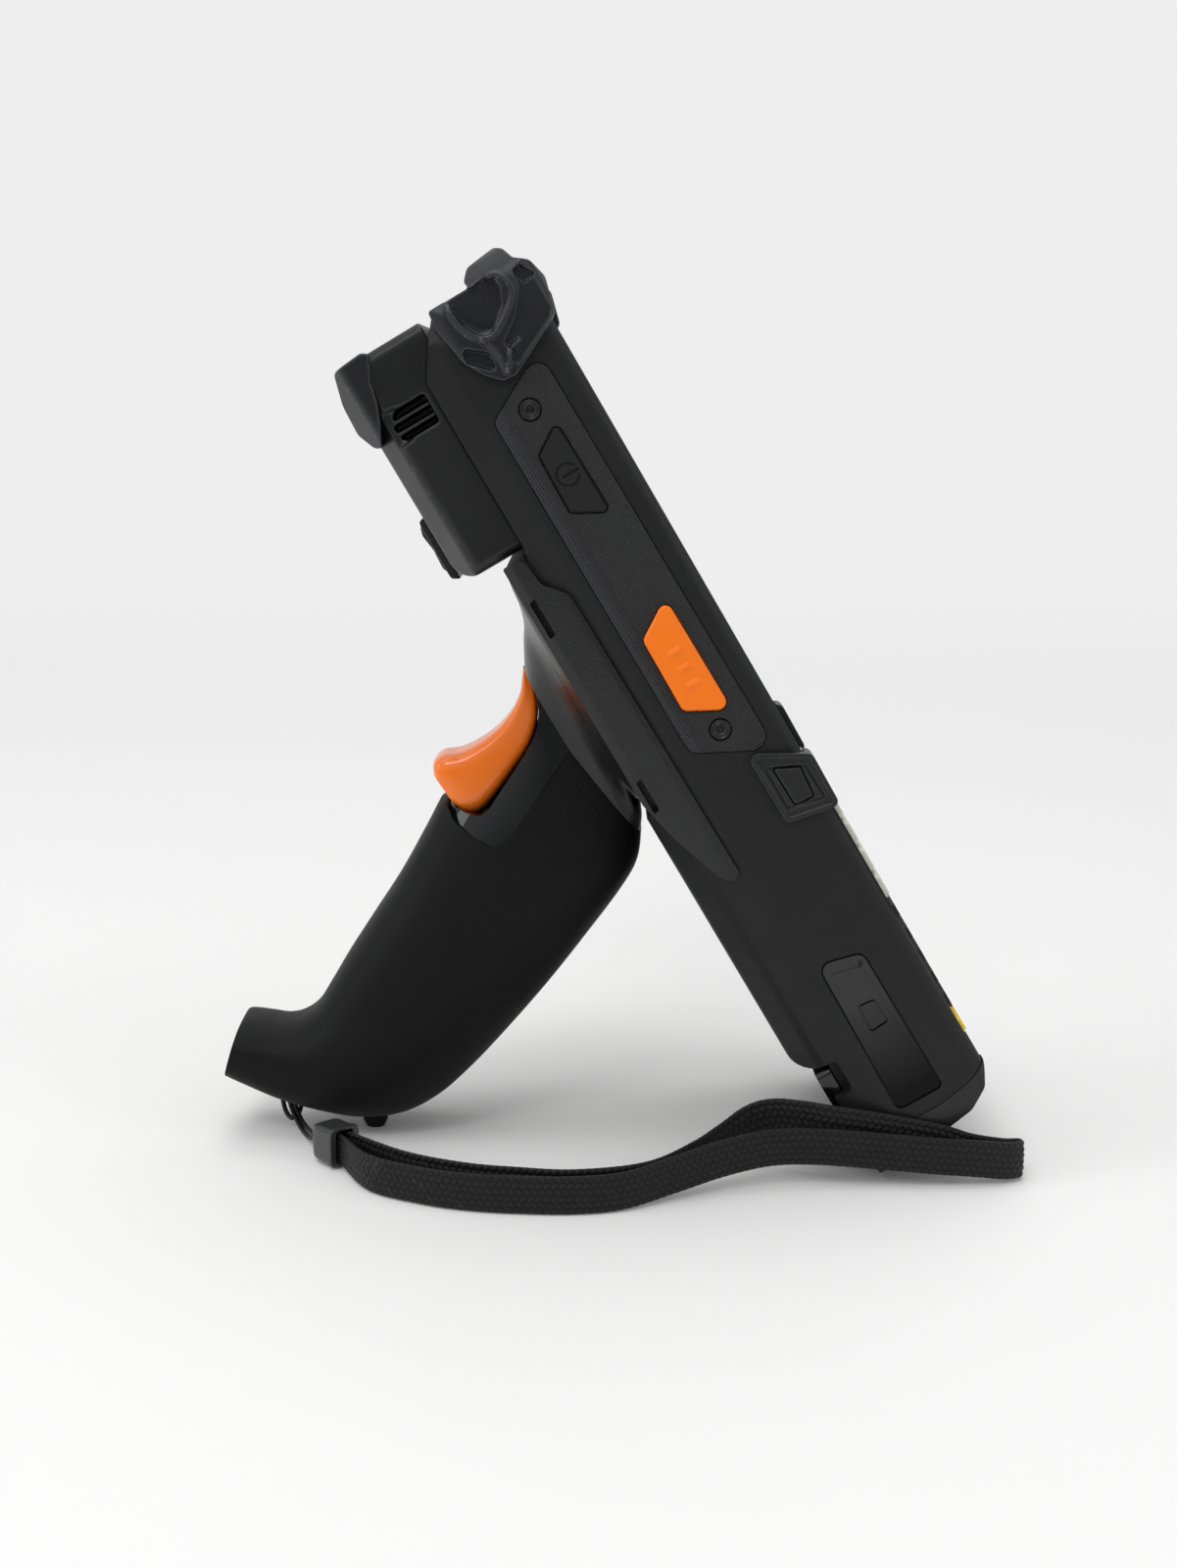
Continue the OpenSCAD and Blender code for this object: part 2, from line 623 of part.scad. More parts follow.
// Hollows of a bumper, seen from the side: each is cut down from the height of the ribs
bumper_window = from_top([[18.3, 9], [18.2, -0.4, 1], [17.2, -5.4, 5], [14.6, -9.2, 2.5], [12.2, -9.9, 1],
    [8, -6.4, 3],
    [6.6, -3, 2], [6.7, -0.6, 1], [8, 0.5, 0.6], [12.3, -0.1, 0.4], [12.8, 9]]);
bumper_cheek = from_top([[2.4, -1.2, 0.5], [0.4, -0.9, 0.8], [-1.9, -4.4, 1], [-9, -5.4], [-9, -9.4],
    [-1.4, -10, 1], [-0.3, -12.6, 1],
    [1.2, -13.9, 1.5], [11.9, -18.8, 0.6], [11, -14.8, 0.8], [11.7, -13.3, 0.8], [10, -12.1, 2],
        [6.9, -10, 4], [3.3, -5.7, 5]]);
bumper_pocket = from_top([[20.2, -9.4, 1], [15.3, -13.4, 0.8], [15.8, -18, 0.8], [20.6, -13, 1]]);
bumper_notch = from_top([[2.2, -1.5, 0.5], [0.6, -1.3, 0.5], [-1.5, -4.3, 0.5], [1.4, -4.9, 0.5],
    [2.3, -2.9, 0.4]]);

module corner_bumper(side) {
    reach = half_w + bumper_rise;
    crest = reach + rib_h;
    color("#24272a") to_side(side) difference() {
        intersection() {
            bumper_zone(1);
            slab(-6, 30) plate(crest, 100, body_l + 5.2, corner_r);
            section([[-3, crest, edge_r + 2], [20, crest, 5], [24, crest - 2, 3], [34, crest - 5]], 100,
                body_l + 9);
        }
        corner_core();
        prism(bumper_window, half_w - 0.3, crest + 9);
        prism(bumper_cheek, reach, crest + 9);
        prism(bumper_pocket, reach - 0.8, crest + 9);
        prism(bumper_notch, reach - 0.9, crest + 9);
        head_blank();
        slab(ledge_d - 9, ledge_d + 1) plate(rim_half, rim_z, body_l - rim_w, corner_r - rim_w);
    }
}

clip_outline = [[11.3, 101.3, 1.6], [8.6, 100.8, 2], [-1.4, 95, 2], [-1.2, 81.8, 1.4], [11.1, 84.2, 1.5]];
clip_field = [[9.4, 97.2, 0.5], [1.3, 93.2, 0.5], [1, 84.9, 0.5], [9.3, 86.9, 0.5]];
clip_catch = [[7.6, 96.2, 0.4], [2.5, 93.7, 0.4], [3.1, 86.6, 0.4], [7.3, 87, 0.4]];
clip_lap = 6.2;      // how far a clip laps over the front, short of the keys

module side_clip(side) {
    top = half_w + clip_t;
    color("#1a1b1d") to_side(side) difference() {
        prism(clip_outline, half_w - clip_lap, top, 6);
        // raised rim, sunk field with a channel round it, and a catch in a deep slot
        prism(grown(clip_outline, -1), top - 0.3, top + 9);
        difference() {
            prism(grown(clip_field, 0.3), top - 0.8, top + 9);
            prism(grown(clip_field, -0.3), top - 9, top - 0.45);
        }
        difference() {
            prism(grown(clip_catch, 0.5), top - 1.4, top + 9);
            prism(clip_catch, top - 9, top - 0.1);
        }
        housing_blank();
        slab(-0.05, 60) plate(half_w - 1, 20, 200, 1);
    }
}

module dock_plate(side) {
    color("#0d0e10") to_side(side) difference() {
        union() {
            prism(dock_outline, dock_floor, half_w - 0.1);
            prism(dock_field, half_w - 0.5, half_w + 0.2);
        }
        difference() {
            prism(grown(dock_catch, dock_gap), half_w - 0.7, half_w + 9);
            prism(dock_catch, half_w - 1, half_w + 0.3);
        }
    }
}

// ---- Battery ----
battery_section = [[bay_floor + 0.3, 33.1], [side_d + 1, 33.1, 5], [battery_d, 25.4, 5]];
module battery_pack() {
    color("#191a1c") difference() {
        intersection() {
            section(battery_section, battery_z, battery_top);
            prism([[bay_floor, battery_z], [bay_floor, battery_top], [battery_d, battery_top, 1],
                [battery_d, battery_z, 4.5]], -50, 50, 6);
        }
        // notch that the latch tongue drops into
        slab(latch_d - gap, latch_d + 1.4 + gap) translate([0, battery_z]) pad([20 + 2 * gap, 5], 0.6);
    }
}

latch_d = heel_d - 1.9;
module battery_latch() {
    low = battery_z - 11.4;
    high = battery_z - gap;
    color("#2e3034") difference() {
        union() {
            slab(latch_d, heel_d + 1.6) plate(33, low, high - 0.6, 1.6);
            slab(latch_d, latch_d + 1.4) plate(10, low + 2, battery_z + 2, 0.6);
        }
        // finger dish
        translate([-heel_d - 11.8, 0, low + 5]) rotate([90, 0, 0]) cylinder(r = 11, h = 24, center = true);
    }
}

// ---- Scanner head ----
head_half = head_w / 2;
head_section = [[seam_d - 5, head_half], [head_d - 4.8, head_half, 3], [head_d, head_half - 8.6, 3]];
window_d = (seam_d + head_d) / 2 - 0.4;   // middle of the scan window
window_t = head_d - seam_d - 3.8;         // depth of the scan window
module head_blank() {
    intersection() {
        prism([[seam_d - 5, head_z], [seam_d - 5, body_l, 0.5], [head_d, body_l, 2], [head_d, head_z, 5]],
            -60, 60, 6);
        section(head_section, 0, 300);
        slab(0, 60) plate(head_half, head_z, body_l, 2.4);
    }
}

slot_z = body_l - 16.7;
slot_outline = [[seam_d + 1.8, slot_z - 3.4, 0.4], [seam_d + 1.7, slot_z + 3.4, 0.4],
    [head_d - 7, slot_z + 3.4, 2],
    [head_d - 5.3, slot_z + 0.4, 2], [head_d - 5.8, slot_z - 3.5, 1.6]];
fin_t = 0.8;
module head_housing() {
    color("#17181a") difference() {
        head_blank();
        housing_blank();
        // hollow for the scan engine
        slab(0, head_d - wall) plate(head_half - 9, head_z + wall, body_l - wall, 4);
        // mouth and seat of the scan window
        translate([-window_d, 0, body_l - 2]) linear_extrude(9)
            square([window_t + 2 * gap, window_w + 2 * gap], center = true);
        translate([-window_d, 0, body_l - 4]) linear_extrude(9) square([window_t - 2, window_w - 3],
            center = true);
        // vent slots, each with two fins left standing across it
        for (side = [-1, 1]) to_side(side) difference() {
            prism(slot_outline, head_half - 6, head_half + 9);
            for (z = [-1.5, 1.1])
                prism([[seam_d, slot_z + z - fin_t / 2], [seam_d, slot_z + z + fin_t / 2],
                [head_d, slot_z + z + fin_t / 2],
                [head_d, slot_z + z - fin_t / 2]], head_half - 9, head_half - 1.2);
        }
        // scoop round the back end of each slot
        for (side = [-1, 1]) to_side(side) translate([-head_d + 5.4, head_half + 3.2, slot_z])
            cylinder(r = 4.5, h = 8, center = true);
        // camera and flash openings
        translate([-head_d, camera_y, camera_z]) rotate([0, 90, 0]) cylinder(d = lens_dia + 1.5, h = 12,
            center = true);
        translate([-head_d, flash_y, camera_z]) rotate([0, 90, 0]) cylinder(d = 5.2, h = 12, center = true);
    }
}

module head_bumper() {
    lap = head_half + 0.5;
    color("#121315") difference() {
        intersection() {
            prism([[head_d - 9.1, body_l - 0.4, 0.4], [head_d - 7.6, body_l + 0.7, 1],
                [head_d - 0.1, body_l + 0.1, 1.2],
                [head_d + 2.2, body_l - 6.5, 8], [head_d + 2.7, body_l - 13.6, 3],
                    [head_d + 0.8, body_l - 17.8, 1.5],
                [head_d - 0.7, body_l - 18.9, 0.8], [head_d - 3.2, body_l - 14.8, 4],
                    [head_d - 5.2, body_l - 10.4, 4],
                [head_d - 6.4, body_l - 5.4, 4]], -60, 60, 6);
            section([[seam_d, lap], [head_d - 1.8, lap, 2], [head_d + 3.2, head_half - 7.6, 3]], 0, 300);
        }
        head_blank();
        // opening over the scan window
        translate([-head_d - 9, -window_w / 2 - 2, body_l - 5])
            cube([head_d + 10 - seam_d, window_w + 4, 20]);
    }
}

camera_y = 6;
flash_y = -7;
camera_z = head_z + 8;
module camera_bezel() {
    top = head_d + 2.7;
    color("#151517") difference() {
        union() {
            prism([[head_d, head_z + 0.8], [head_d, head_z + 16.8], [top - 1, head_z + 16.2, 0.8],
                [top - 0.8, head_z + 1.8, 1.2]], -22, 22);
            prism([[head_d, head_z + 1.8], [head_d, head_z + 15.8], [top - 0.6, head_z + 15.2, 0.6],
                [top, head_z + 13.2, 1],
                [top - 0.5, head_z + 9.2, 2], [top - 0.2, head_z + 4.8, 1], [top - 1.2, head_z + 2, 0.6]],
                    -20, 20);
        }
        translate([-head_d, camera_y, camera_z]) rotate([0, 90, 0]) cylinder(d = lens_dia + 0.6, h = 12,
            center = true);
        translate([-head_d, flash_y, camera_z]) rotate([0, 90, 0]) cylinder(d = 4.6, h = 12, center = true);
    }
}

module camera_module() {
    back = head_d - wall - 0.1;
    color("#111419") {
        translate([-head_d - 1.6, camera_y, camera_z]) rotate([0, 90, 0])
            cylinder(d = lens_dia, h = 1.6 + wall + 1);
        slab(back - 4, back) translate([0, camera_z]) pad([26, 10], 1);
        translate([-head_d - 1.3, flash_y, camera_z]) rotate([0, 90, 0]) cylinder(d = 4, h = 1.3 + wall + 1);
    }
}

module scan_engine() {
    high = body_l - 5.2;
    engine_t = window_t - 1;
    engine_d = window_d - 0.1;
    bracket_d = engine_d - engine_t / 2 + 1.4;
    color("#3b3e44") difference() {
        union() {
            translate([-engine_d, 0, high - 10]) cube([engine_t, 30, 20], center = true);
            // bracket down to the floor of the head
            translate([-bracket_d, 0, (head_z + wall + high - 19) / 2])
                cube([2.4, 20, high - 19 - head_z - wall], center = true);
        }
        translate([-engine_d, -7, high - 3]) cylinder(d = 8, h = 9);
        translate([-engine_d, 7, high - 3]) cylinder(d = 6, h = 9);
    }
}

module scan_window() {
    color("#3a0d0d") translate([-window_d, 0, body_l - 1.9]) linear_extrude(1.2)
        square([window_t, window_w], center = true);
}

// ---- Saddle that joins the terminal to the grip ----
rail_outline = [[25.6, 79.4, 1.2], [26.7, 151.6, 3], [30.9, 156.4, 3], [31.8, seat_top, 1.5],
    [saddle_d + 1, seat_top, 0.5],
    [saddle_d + 1, 103, 4], [34.1, 92.7, 12], [30, 80.6, 3], [27.6, 78.2, 1.5]];
latch_slots = [[145.6, 154.6], [100.6, 108.8]];   // low and high end of each slot

neck_rows = [[31, seat_top - 4, 31, seat_z + 3, 33.5], [34.4, seat_top - 1.4, 34.4, seat_z + 1, 33],
    [36.4, seat_top - 1.8, 36.4, seat_z + 0.6, 29.5], [38.2, 161.3, 38.6, seat_z + 0.3, 25.6],
        [39, 155.8, 40, 96, 22.6],
    [40.8, 149.4, 41.4, 93.8, 20], [43.4, 145, 43.4, 91, 17.8], [46.4, 139.6, 46.6, 85.6, 16.4],
        [50, 133, 50, 81, 15.6]];

// Boundary between the saddle's neck and the pieces of the grip
seam_top = [46.6, 141];
seam_mid = [46.1, 118.5];
seam_low = [42.3, 92.8];

pivot = [42.6, 135.4];
module trigger_sweep() {
    prism([[pivot[0] - 5, pivot[1] - 5], [pivot[0] - 5, pivot[1] + 5, 3], [pivot[0] + 2.5, pivot[1] + 6.5, 2],
        [60, pivot[1] + 6], [60, pivot[1] - 12]], -arm_slot_w / 2, arm_slot_w / 2);
}

module grip_saddle() {
    color("#1d1e20") difference() {
        union() {
            // plate across the back of the housing
            intersection() {
                prism([[side_d, seat_z], [side_d, seat_top], [saddle_d, seat_top, 1],
                    [saddle_d, seat_z, 1]], -60, 60);
                section([[20, half_w - 0.5], [saddle_d + 1, half_w - 2.2]], 0, 300);
            }
            // side rails with their fins
            intersection() {
                union() for (side = [-1, 1]) to_side(side) prism(rail_outline, half_w - rail_t, half_w + 1);
                section([[20, half_w + 0.3], [27, half_w + 0.3, 4], [saddle_d + 1, half_w - 1.1, 2]], 0, 300);
            }
            // flared neck
            difference() {
                skin([for (r = neck_rows) oval(r, 0, 0.62)]);
                prism([[0, 0], [side_d, 0], [side_d, 300], [0, 300]], -60, 60);
                prism([[70, 300], seam_top, seam_mid, seam_low, [41.5, 60], [70, 60]], -60, 60);
            }
        }
        trigger_sweep();
        translate([-pivot[0], 0, pivot[1]]) rotate([90, 0, 0]) cylinder(d = pin_dia + 0.02, h = 18,
            center = true);
        // latch slots under the rails
        for (side = [-1, 1]) for (s = latch_slots) to_side(side)
            prism([[saddle_d - 1.8, s[0], 0.3], [saddle_d - 1.8, s[1], 0.3],
                [saddle_d - 0.3, s[1] - 0.6, 0.3], [saddle_d - 0.3, s[0] - 0.6, 0.3]],
                half_w - 5, half_w + 5);
    }
}

// ---- Grip ----
// Rows along the grip: front point, back point, half width
grip_rows = [[42, 136, 35, 101.5, 12.6], [54, 133.4, 38.5, 97, 13.4], [66, 129.6, 42, 92.5, 14.4],
    [78.5, 123.2, 46.5, 86.6, 15.8],
    [86, 118.6, 53, 82.6, grip_half - 0.6], [97, 112.1, 66, 77, grip_half - 0.2],
        [108, 106.6, 80, 71.4, grip_half],
    [118, 101.6, 94.4, 66.4, grip_half], [126, 97.2, 106.6, 62.7, grip_half - 0.2],
        [132, 94.2, 116.8, 60.6, grip_half - 0.6],
    [137.2, 93.8, 126.2, 61, grip_half - 1.2], [141.2, 95.2, 135.2, 64.8, grip_half - 1.9],
    [144.1, 97.6, 142.8, 70.8, grip_half - 2.6], [146.4, 99.5, 149.8, 78, grip_half - 3.2],
    [148, 100.5, 155.4, 85.6, grip_half - 3.6], [148.9, 100.5, 159, 91, grip_half - 3.8]];
grip_power = 0.74;
module grip_loft(rows, inset, turns) skin([for (r = rows) oval(r, inset, grip_power, turns)]);

// Top edge of the grip shells, seen from the side
grip_edge = [[86, 125.5], [78.2, 121.6, 1], [78.3, 117.6, 2], [76.6, 113.4, 2], [73.4, 108.2, 2.4],
    [69.6, 107.4, 2],
    [seam_mid[0], seam_mid[1]], [seam_low[0], seam_low[1]], [40, 70]];
module below_edge() prism(concat(grip_edge, [[40, 30], [200, 30], [200, 160], [100, 160]]), -60, 60);

strap_place = [148.4, 79.4];
module strap_recess() {
    translate([-strap_place[0], 0, strap_place[1]]) rotate([0, 45, 0]) cube([8, 7, 9], center = true);
}

module grip_shell(side) {
    color("#141516") difference() {
        intersection() {
            to_side(side) grip_loft(grip_rows, 0, half_turn);
            below_edge();
        }
        difference() {
            to_side(side) translate([0, -tiny, 0]) grip_loft(part_of(grip_rows, 0, 13), grip_wall, half_turn);
            for (p = grip_screws) translate([-p[0], 0, p[1]]) rotate([90, 0, 0])
                cylinder(d = 7, h = 60, center = true);
            translate([-strap_place[0], 0, strap_place[1]]) rotate([0, 45, 0])
                cube([13, 60, 14], center = true);
        }
        trigger_pocket(0.2);
        for (p = grip_screws) translate([-p[0], 0, p[1]]) rotate([90, 0, 0])
            cylinder(d = screw_shank + 0.02, h = 22, center = true);
        for (p = grip_screws) translate([-p[0], screw_seat_y, p[1]]) rotate([-90, 0, 0])
            cylinder(d = screw_head + 0.4, h = 20);
        strap_recess();
        translate([-strap_place[0], 0, strap_place[1]]) rotate([90, 0, 0])
            cylinder(d = 2.5, h = 16, center = true);
        foot_socket();
    }
}

module foot_socket() {
    translate([-foot_point[0], 0, foot_point[1]]) rotate([0, lean, 0]) translate([0, 0, -5])
        cylinder(d = foot_dia + 0.02, h = foot_h + 6.5);
}

module grip_foot() {
    color("#1c1c1c") translate([-foot_point[0], 0, foot_point[1]]) rotate([0, lean, 0]) {
        cylinder(d1 = foot_dia - 1.6, d2 = foot_dia, h = 1.6);
        translate([0, 0, 1.6]) cylinder(d = foot_dia, h = foot_h - 0.1);
    }
}

// ---- Trigger ----
// Room that the trigger needs inside the grip, from rest to fully pulled
module trigger_pocket(grow) {
    wide = trigger_w / 2 + 0.7 + grow;
    intersection() {
        prism([[45, 145], [45, 126], [47.2, 120.6, 2], [50.4, 118.4, 2], [57.4, 114, 3], [65.4, 110.9, 3],
            [70.6, 110.6, 2],
            [74, 113.4, 2], [76.6, 119], [77.2, 125], [84, 150]], -wide, wide);
        section([[30, wide - 3.6], [48, wide - 3], [56, wide - 1], [62, wide], [99, wide]], 60, 200);
    }
}

housing_visible = [[46.75, 141.5], [50.2, 136.2, 2], [50.8, 130.4, 4], [53.4, 125.6, 4], [57, 122.4, 4],
    [69.8, 116, 1], [72.6, 115.7, 1.5],
    [75.2, 118, 1.5], [77.6, 121.6, 0.4], [78.3, 117.6, 2], [76.6, 113.4, 2], [73.4, 108.2, 2.4],
        [69.6, 107.4, 2],
    [seam_mid[0] + 0.15, seam_mid[1]]];
// The housing is fuller than the grip beside the tip of the trigger
housing_rows = [[42, 147, 35, 101.5, 14], [49, 141.4, 37, 99.2, 14], [56, 133.5, 39.2, 96.2, 14.2],
    [66, 128, 42, 92.5, 14.8],
    [78.5, 122.2, 46.5, 86.6, 16], [88, 117.6, 53, 82.6, grip_half - 0.6]];
module trigger_housing() {
    color("#0c0d0f") difference() {
        union() {
            intersection() {
                skin([for (r = housing_rows) oval(r, 0.9, grip_power)]);
                prism(housing_visible, -60, 60);
            }
            // part of the housing that plugs into the shells
            intersection() {
                grip_loft(part_of(grip_rows, 0, 5), grip_wall + 0.15, full_turn);
                prism([[seam_mid[0] + 0.3, seam_mid[1] - 0.3], [69.6, 107.6], [76, 113], [76, 108],
                    [68, 101], [50, 108.6], [45.6, 111]], -60, 60);
            }
        }
        trigger_pocket(0);
        // seat of the switch
        translate([-58, 0, 110.6]) rotate([0, -24, 0]) cube([13.2, 6.2, 15], center = true);
    }
}

// Rows along the trigger: finger side, grip side, half width
trigger_half = trigger_w / 2;
trigger_rows = [[46.9, 139.5, 45.8, 138.1, trigger_half - 5.9],
    [48.4, 137.4, 46.9, 134.4, trigger_half - 4.9],
    [50.6, 134.7, 48.3, 130.6, trigger_half - 3.9], [54.2, 132.2, 50.4, 127, trigger_half - 2.9],
    [59, 130.4, 54.6, 123.2, trigger_half - 1.8], [64.5, 129.7, 60.6, 120.2, trigger_half - 0.9],
    [69.6, 130.1, 67, 117.4, trigger_half - 0.3], [73.4, 131.4, 72, 115.6, trigger_half],
    [75.4, 131, 75, 116.4, trigger_half - 0.2], [76.8, 128.8, 76.5, 119, trigger_half - 1.1]];
module trigger() {
    color("#ff7a1e") difference() {
        union() {
            skin([for (r = trigger_rows) oval(r, 0, 0.6)]);
            // arm and boss on the pin
            prism([[pivot[0] - 3, pivot[1] - 2.4, 1.5], [pivot[0] - 3, pivot[1] + 3, 1.5], [47.4, 137.6],
                [49.4, 133], [49.2, 129]],
                -arm_w / 2, arm_w / 2);
            translate([-pivot[0], 0, pivot[1]]) rotate([90, 0, 0]) cylinder(d = pin_dia + 4, h = arm_w,
                center = true);
        }
        translate([-pivot[0], 0, pivot[1]]) rotate([90, 0, 0]) cylinder(d = pin_dia + 2 * pin_gap, h = 40,
            center = true);
    }
}

module trigger_pin() {
    color("silver") translate([-pivot[0], 0, pivot[1]]) rotate([90, 0, 0]) cylinder(d = pin_dia, h = 17.6,
        center = true);
}

module trigger_switch() {
    color("#333333") translate([-58, 0, 110.6]) rotate([0, -24, 0]) {
        translate([0, 0, -1.6]) cube([12.8, 5.8, 6.5], center = true);
        translate([2, 0, 1.6]) cylinder(d = 2, h = 1.4);
    }
}

// Torsion spring on the pin: one leg in the saddle, one along the arm
spring_wire = 0.6;
spring_r = pin_dia / 2 + spring_wire / 2 + 0.4;
spring_turns = 2.25;
spring_y = arm_w / 2 + 0.1 + spring_wire / 2;
spring_coil = [for (k = [0:12 * spring_turns]) let (turn = 200 + 30 * k)
    [-pivot[0] + spring_r * cos(turn), spring_y + 0.62 * k / 12, pivot[1] + spring_r * sin(turn)]];
spring_path = concat([[-pivot[0] - spring_r + 0.4, spring_y, pivot[1] + 4.2]], spring_coil,
    [[-pivot[0] - 2.6, spring_y + 1.4, pivot[1] - 3.4]]);
module trigger_spring() { color("silver") tube(spring_path, spring_wire / 2, spring_wire / 2, [0, 1, 0]); }

// ---- Wrist strap, in the floor's frame ----
strap_x = 52.2;
module strap_eyelet() {
    color("#8d9095") translate([-strap_place[0], 0, strap_place[1]]) rotate([90, 0, 0])
        cylinder(d = 2.5, h = 15.6, center = true);
}

slider_middle = [-59.5 + strap_x, -25.5, 5.1];
slider_turn = -48;
module strap_slider() {
    color("#1e1f21") translate(slider_middle) rotate([0, 0, slider_turn]) difference() {
        rotate([90, 0, 90]) translate([0, 0, -5]) linear_extrude(10) square([8, 10.2], center = true);
        translate([9, 0, 0]) cube([14, 4.6, band_w + 0.1], center = true);
    }
}

// Path of the string: from the slider, over the eyelet pin in its recess, and back
string_path = [[-10.1, -20.9, 5], [-12.5, -16, 3], [-15.2, -9.2, 2], [-17.3, -3.6, 2.8], [-18.1, -0.8, 6],
    [-18.1, 0, 9.9], [-18.7, 0, 11.4], [-20.2, 0, 12.1], [-21.7, 0, 11.4], [-22.3, 0, 9.9],
        [-22.4, -0.8, 6], [-21, -4, 2.6],
    [-18, -9.8, 1.7], [-14.8, -16.4, 2.8], [-11.6, -22.2, 5]];
module strap_string() { color("#101010") tube(spline(string_path, 2), string_dia / 2, string_dia / 2,
    [1, 0.5, 0.1]); }

// Path of the webbing: out of the slider, along the floor, up a little past the low end of the
// terminal, round the fold and back behind itself
band_front = [[-6.6, -28.1, 4.9], [-4.6, -30.6, 4.8], [3, -44.2, 4.6], [15.8, -52.2, 4.6], [27, -56, 4.6],
    [38, -57.5, 4.6],
    [49, -57.8, 4.6], [60, -55.6, 4.8], [71, -50, 6.2], [82, -46, 8.5], [93, -43.4, 10.1], [104, -42.7, 10.4],
    [118, -42.7, 9.8], [130, -42.7, 8.5], [140, -41.6, 6.8], [147, -39.4, 5.5]];
band_fold = [[150.6, -37, 5], [150.2, -35.2, 5]];
band_back = [[146, -36.2, 5.4], [138, -38.6, 7.5], [130, -39.6, 10.3], [116, -39.7, 13],
    [107, -39.3, 14.3], [101, -37, 14.6],
    [94.4, -33.6, 13.9], [89, -33.2, 12.1], [83, -36, 9], [76, -41, 6.4], [65, -50, 5], [49.4, -53.5, 4.6],
    [36, -52, 4.6], [24, -49, 4.6], [10, -41.6, 4.6], [-2, -29.6, 4.8], [-4.4, -26.9, 4.9]];
band_path = concat(band_front, band_fold, band_back);
module strap_band() { color("#0f0f10") tube(band_path, band_t / 2, band_w / 2, [0, 0, 1]); }

// A closed sweep with an eight-sided ring at each point; the ring is tall along the given direction
module tube(path, across, up, reference) {
    n = len(path);
    skin([for (i = [0:n - 1]) let (t = unit(path[min(i + 1, n - 1)] - path[max(i - 1, 0)]),
        side = unit(cross(reference, t)), top = cross(t, side))
        [for (k = [0:7]) let (c = squared(cos(45 * k + 22.5), 0.6), s = squared(sin(45 * k + 22.5), 0.6))
            path[i] + side * across * c + top * up * s]]);
}

stand() body_housing();
stand() front_cover();
stand() front_seal();
stand() end_cap();
stand() head_housing();
stand() head_bumper();
stand() camera_bezel();
stand() corner_bumper(-1);  // corner_bumper_left
stand() corner_bumper(1);  // corner_bumper_right
stand() side_panel(-1);  // side_panel_left
stand() side_panel(1);  // side_panel_right
stand() case_screws();
stand() power_button();
stand() volume_rocker();
stand() scan_button(-1);  // scan_button_left
stand() scan_button(1);  // scan_button_right
stand() side_clip(-1);  // side_clip_left
stand() side_clip(1);  // side_clip_right
stand() dock_plate(-1);  // dock_plate_left
stand() dock_plate(1);  // dock_plate_right
stand() display_glass();
stand() lcd_module();
stand() keypad_mat();
stand() main_board();
stand() speaker();
stand() number_key(0);  // key_1
stand() number_key(1);  // key_2
stand() number_key(2);  // key_3
stand() number_key(3);  // key_4
stand() number_key(4);  // key_5
stand() number_key(5);  // key_6
stand() number_key(6);  // key_7
stand() number_key(7);  // key_8
stand() number_key(8);  // key_9
stand() number_key(9);  // key_star
stand() number_key(10);  // key_0
stand() number_key(11);  // key_hash
stand() nav_pad();
stand() scan_key();
stand() fn_key();
stand() letter_keys();
stand() battery_pack();
stand() battery_latch();
stand() scan_engine();
stand() scan_window();
stand() camera_module();
stand() grip_saddle();
stand() trigger_housing();
stand() trigger();
stand() trigger_pin();
stand() trigger_spring();
stand() trigger_switch();
stand() grip_shell(-1);  // grip_shell_left
stand() grip_shell(1);  // grip_shell_right
stand() grip_foot();
stand() strap_eyelet();
strap_string();
strap_slider();
strap_band();
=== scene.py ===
"""Handheld data collector standing on its grip and heel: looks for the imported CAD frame."""
import math

import bmesh
import bpy
from mathutils import Matrix, Vector
from mathutils.bvhtree import BVHTree


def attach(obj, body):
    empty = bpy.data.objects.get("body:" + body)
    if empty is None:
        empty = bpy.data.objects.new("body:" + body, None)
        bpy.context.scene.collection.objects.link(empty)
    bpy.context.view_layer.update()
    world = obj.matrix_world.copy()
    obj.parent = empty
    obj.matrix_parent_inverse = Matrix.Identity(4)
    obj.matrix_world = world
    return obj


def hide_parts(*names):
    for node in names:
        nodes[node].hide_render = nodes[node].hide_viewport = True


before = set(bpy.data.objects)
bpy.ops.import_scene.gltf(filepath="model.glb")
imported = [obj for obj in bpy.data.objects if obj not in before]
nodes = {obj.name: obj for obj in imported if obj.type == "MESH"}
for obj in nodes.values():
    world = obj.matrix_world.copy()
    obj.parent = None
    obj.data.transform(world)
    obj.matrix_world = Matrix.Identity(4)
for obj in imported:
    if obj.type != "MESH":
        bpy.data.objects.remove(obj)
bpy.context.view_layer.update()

MM = 0.001
LEAN = math.radians(30.453)  # lean of the terminal behind the vertical
FOOT_D = 136.0  # the foot's place in the terminal's own frame
FOOT_V = 60.6
FAR = 60  # mm, beyond every piece on either side
LEFT_AND_RIGHT = (-1, 1)
DEVICE = Matrix.Scale(MM, 4) @ Matrix.Rotation(-LEAN, 4, "Y") @ Matrix.Translation((FOOT_D, 0, -FOOT_V))


def place(d, v, y=0.0):
    """A point given by depth behind the front face and height, in mm, in the row frame."""
    return DEVICE @ Vector((-d, y, v))


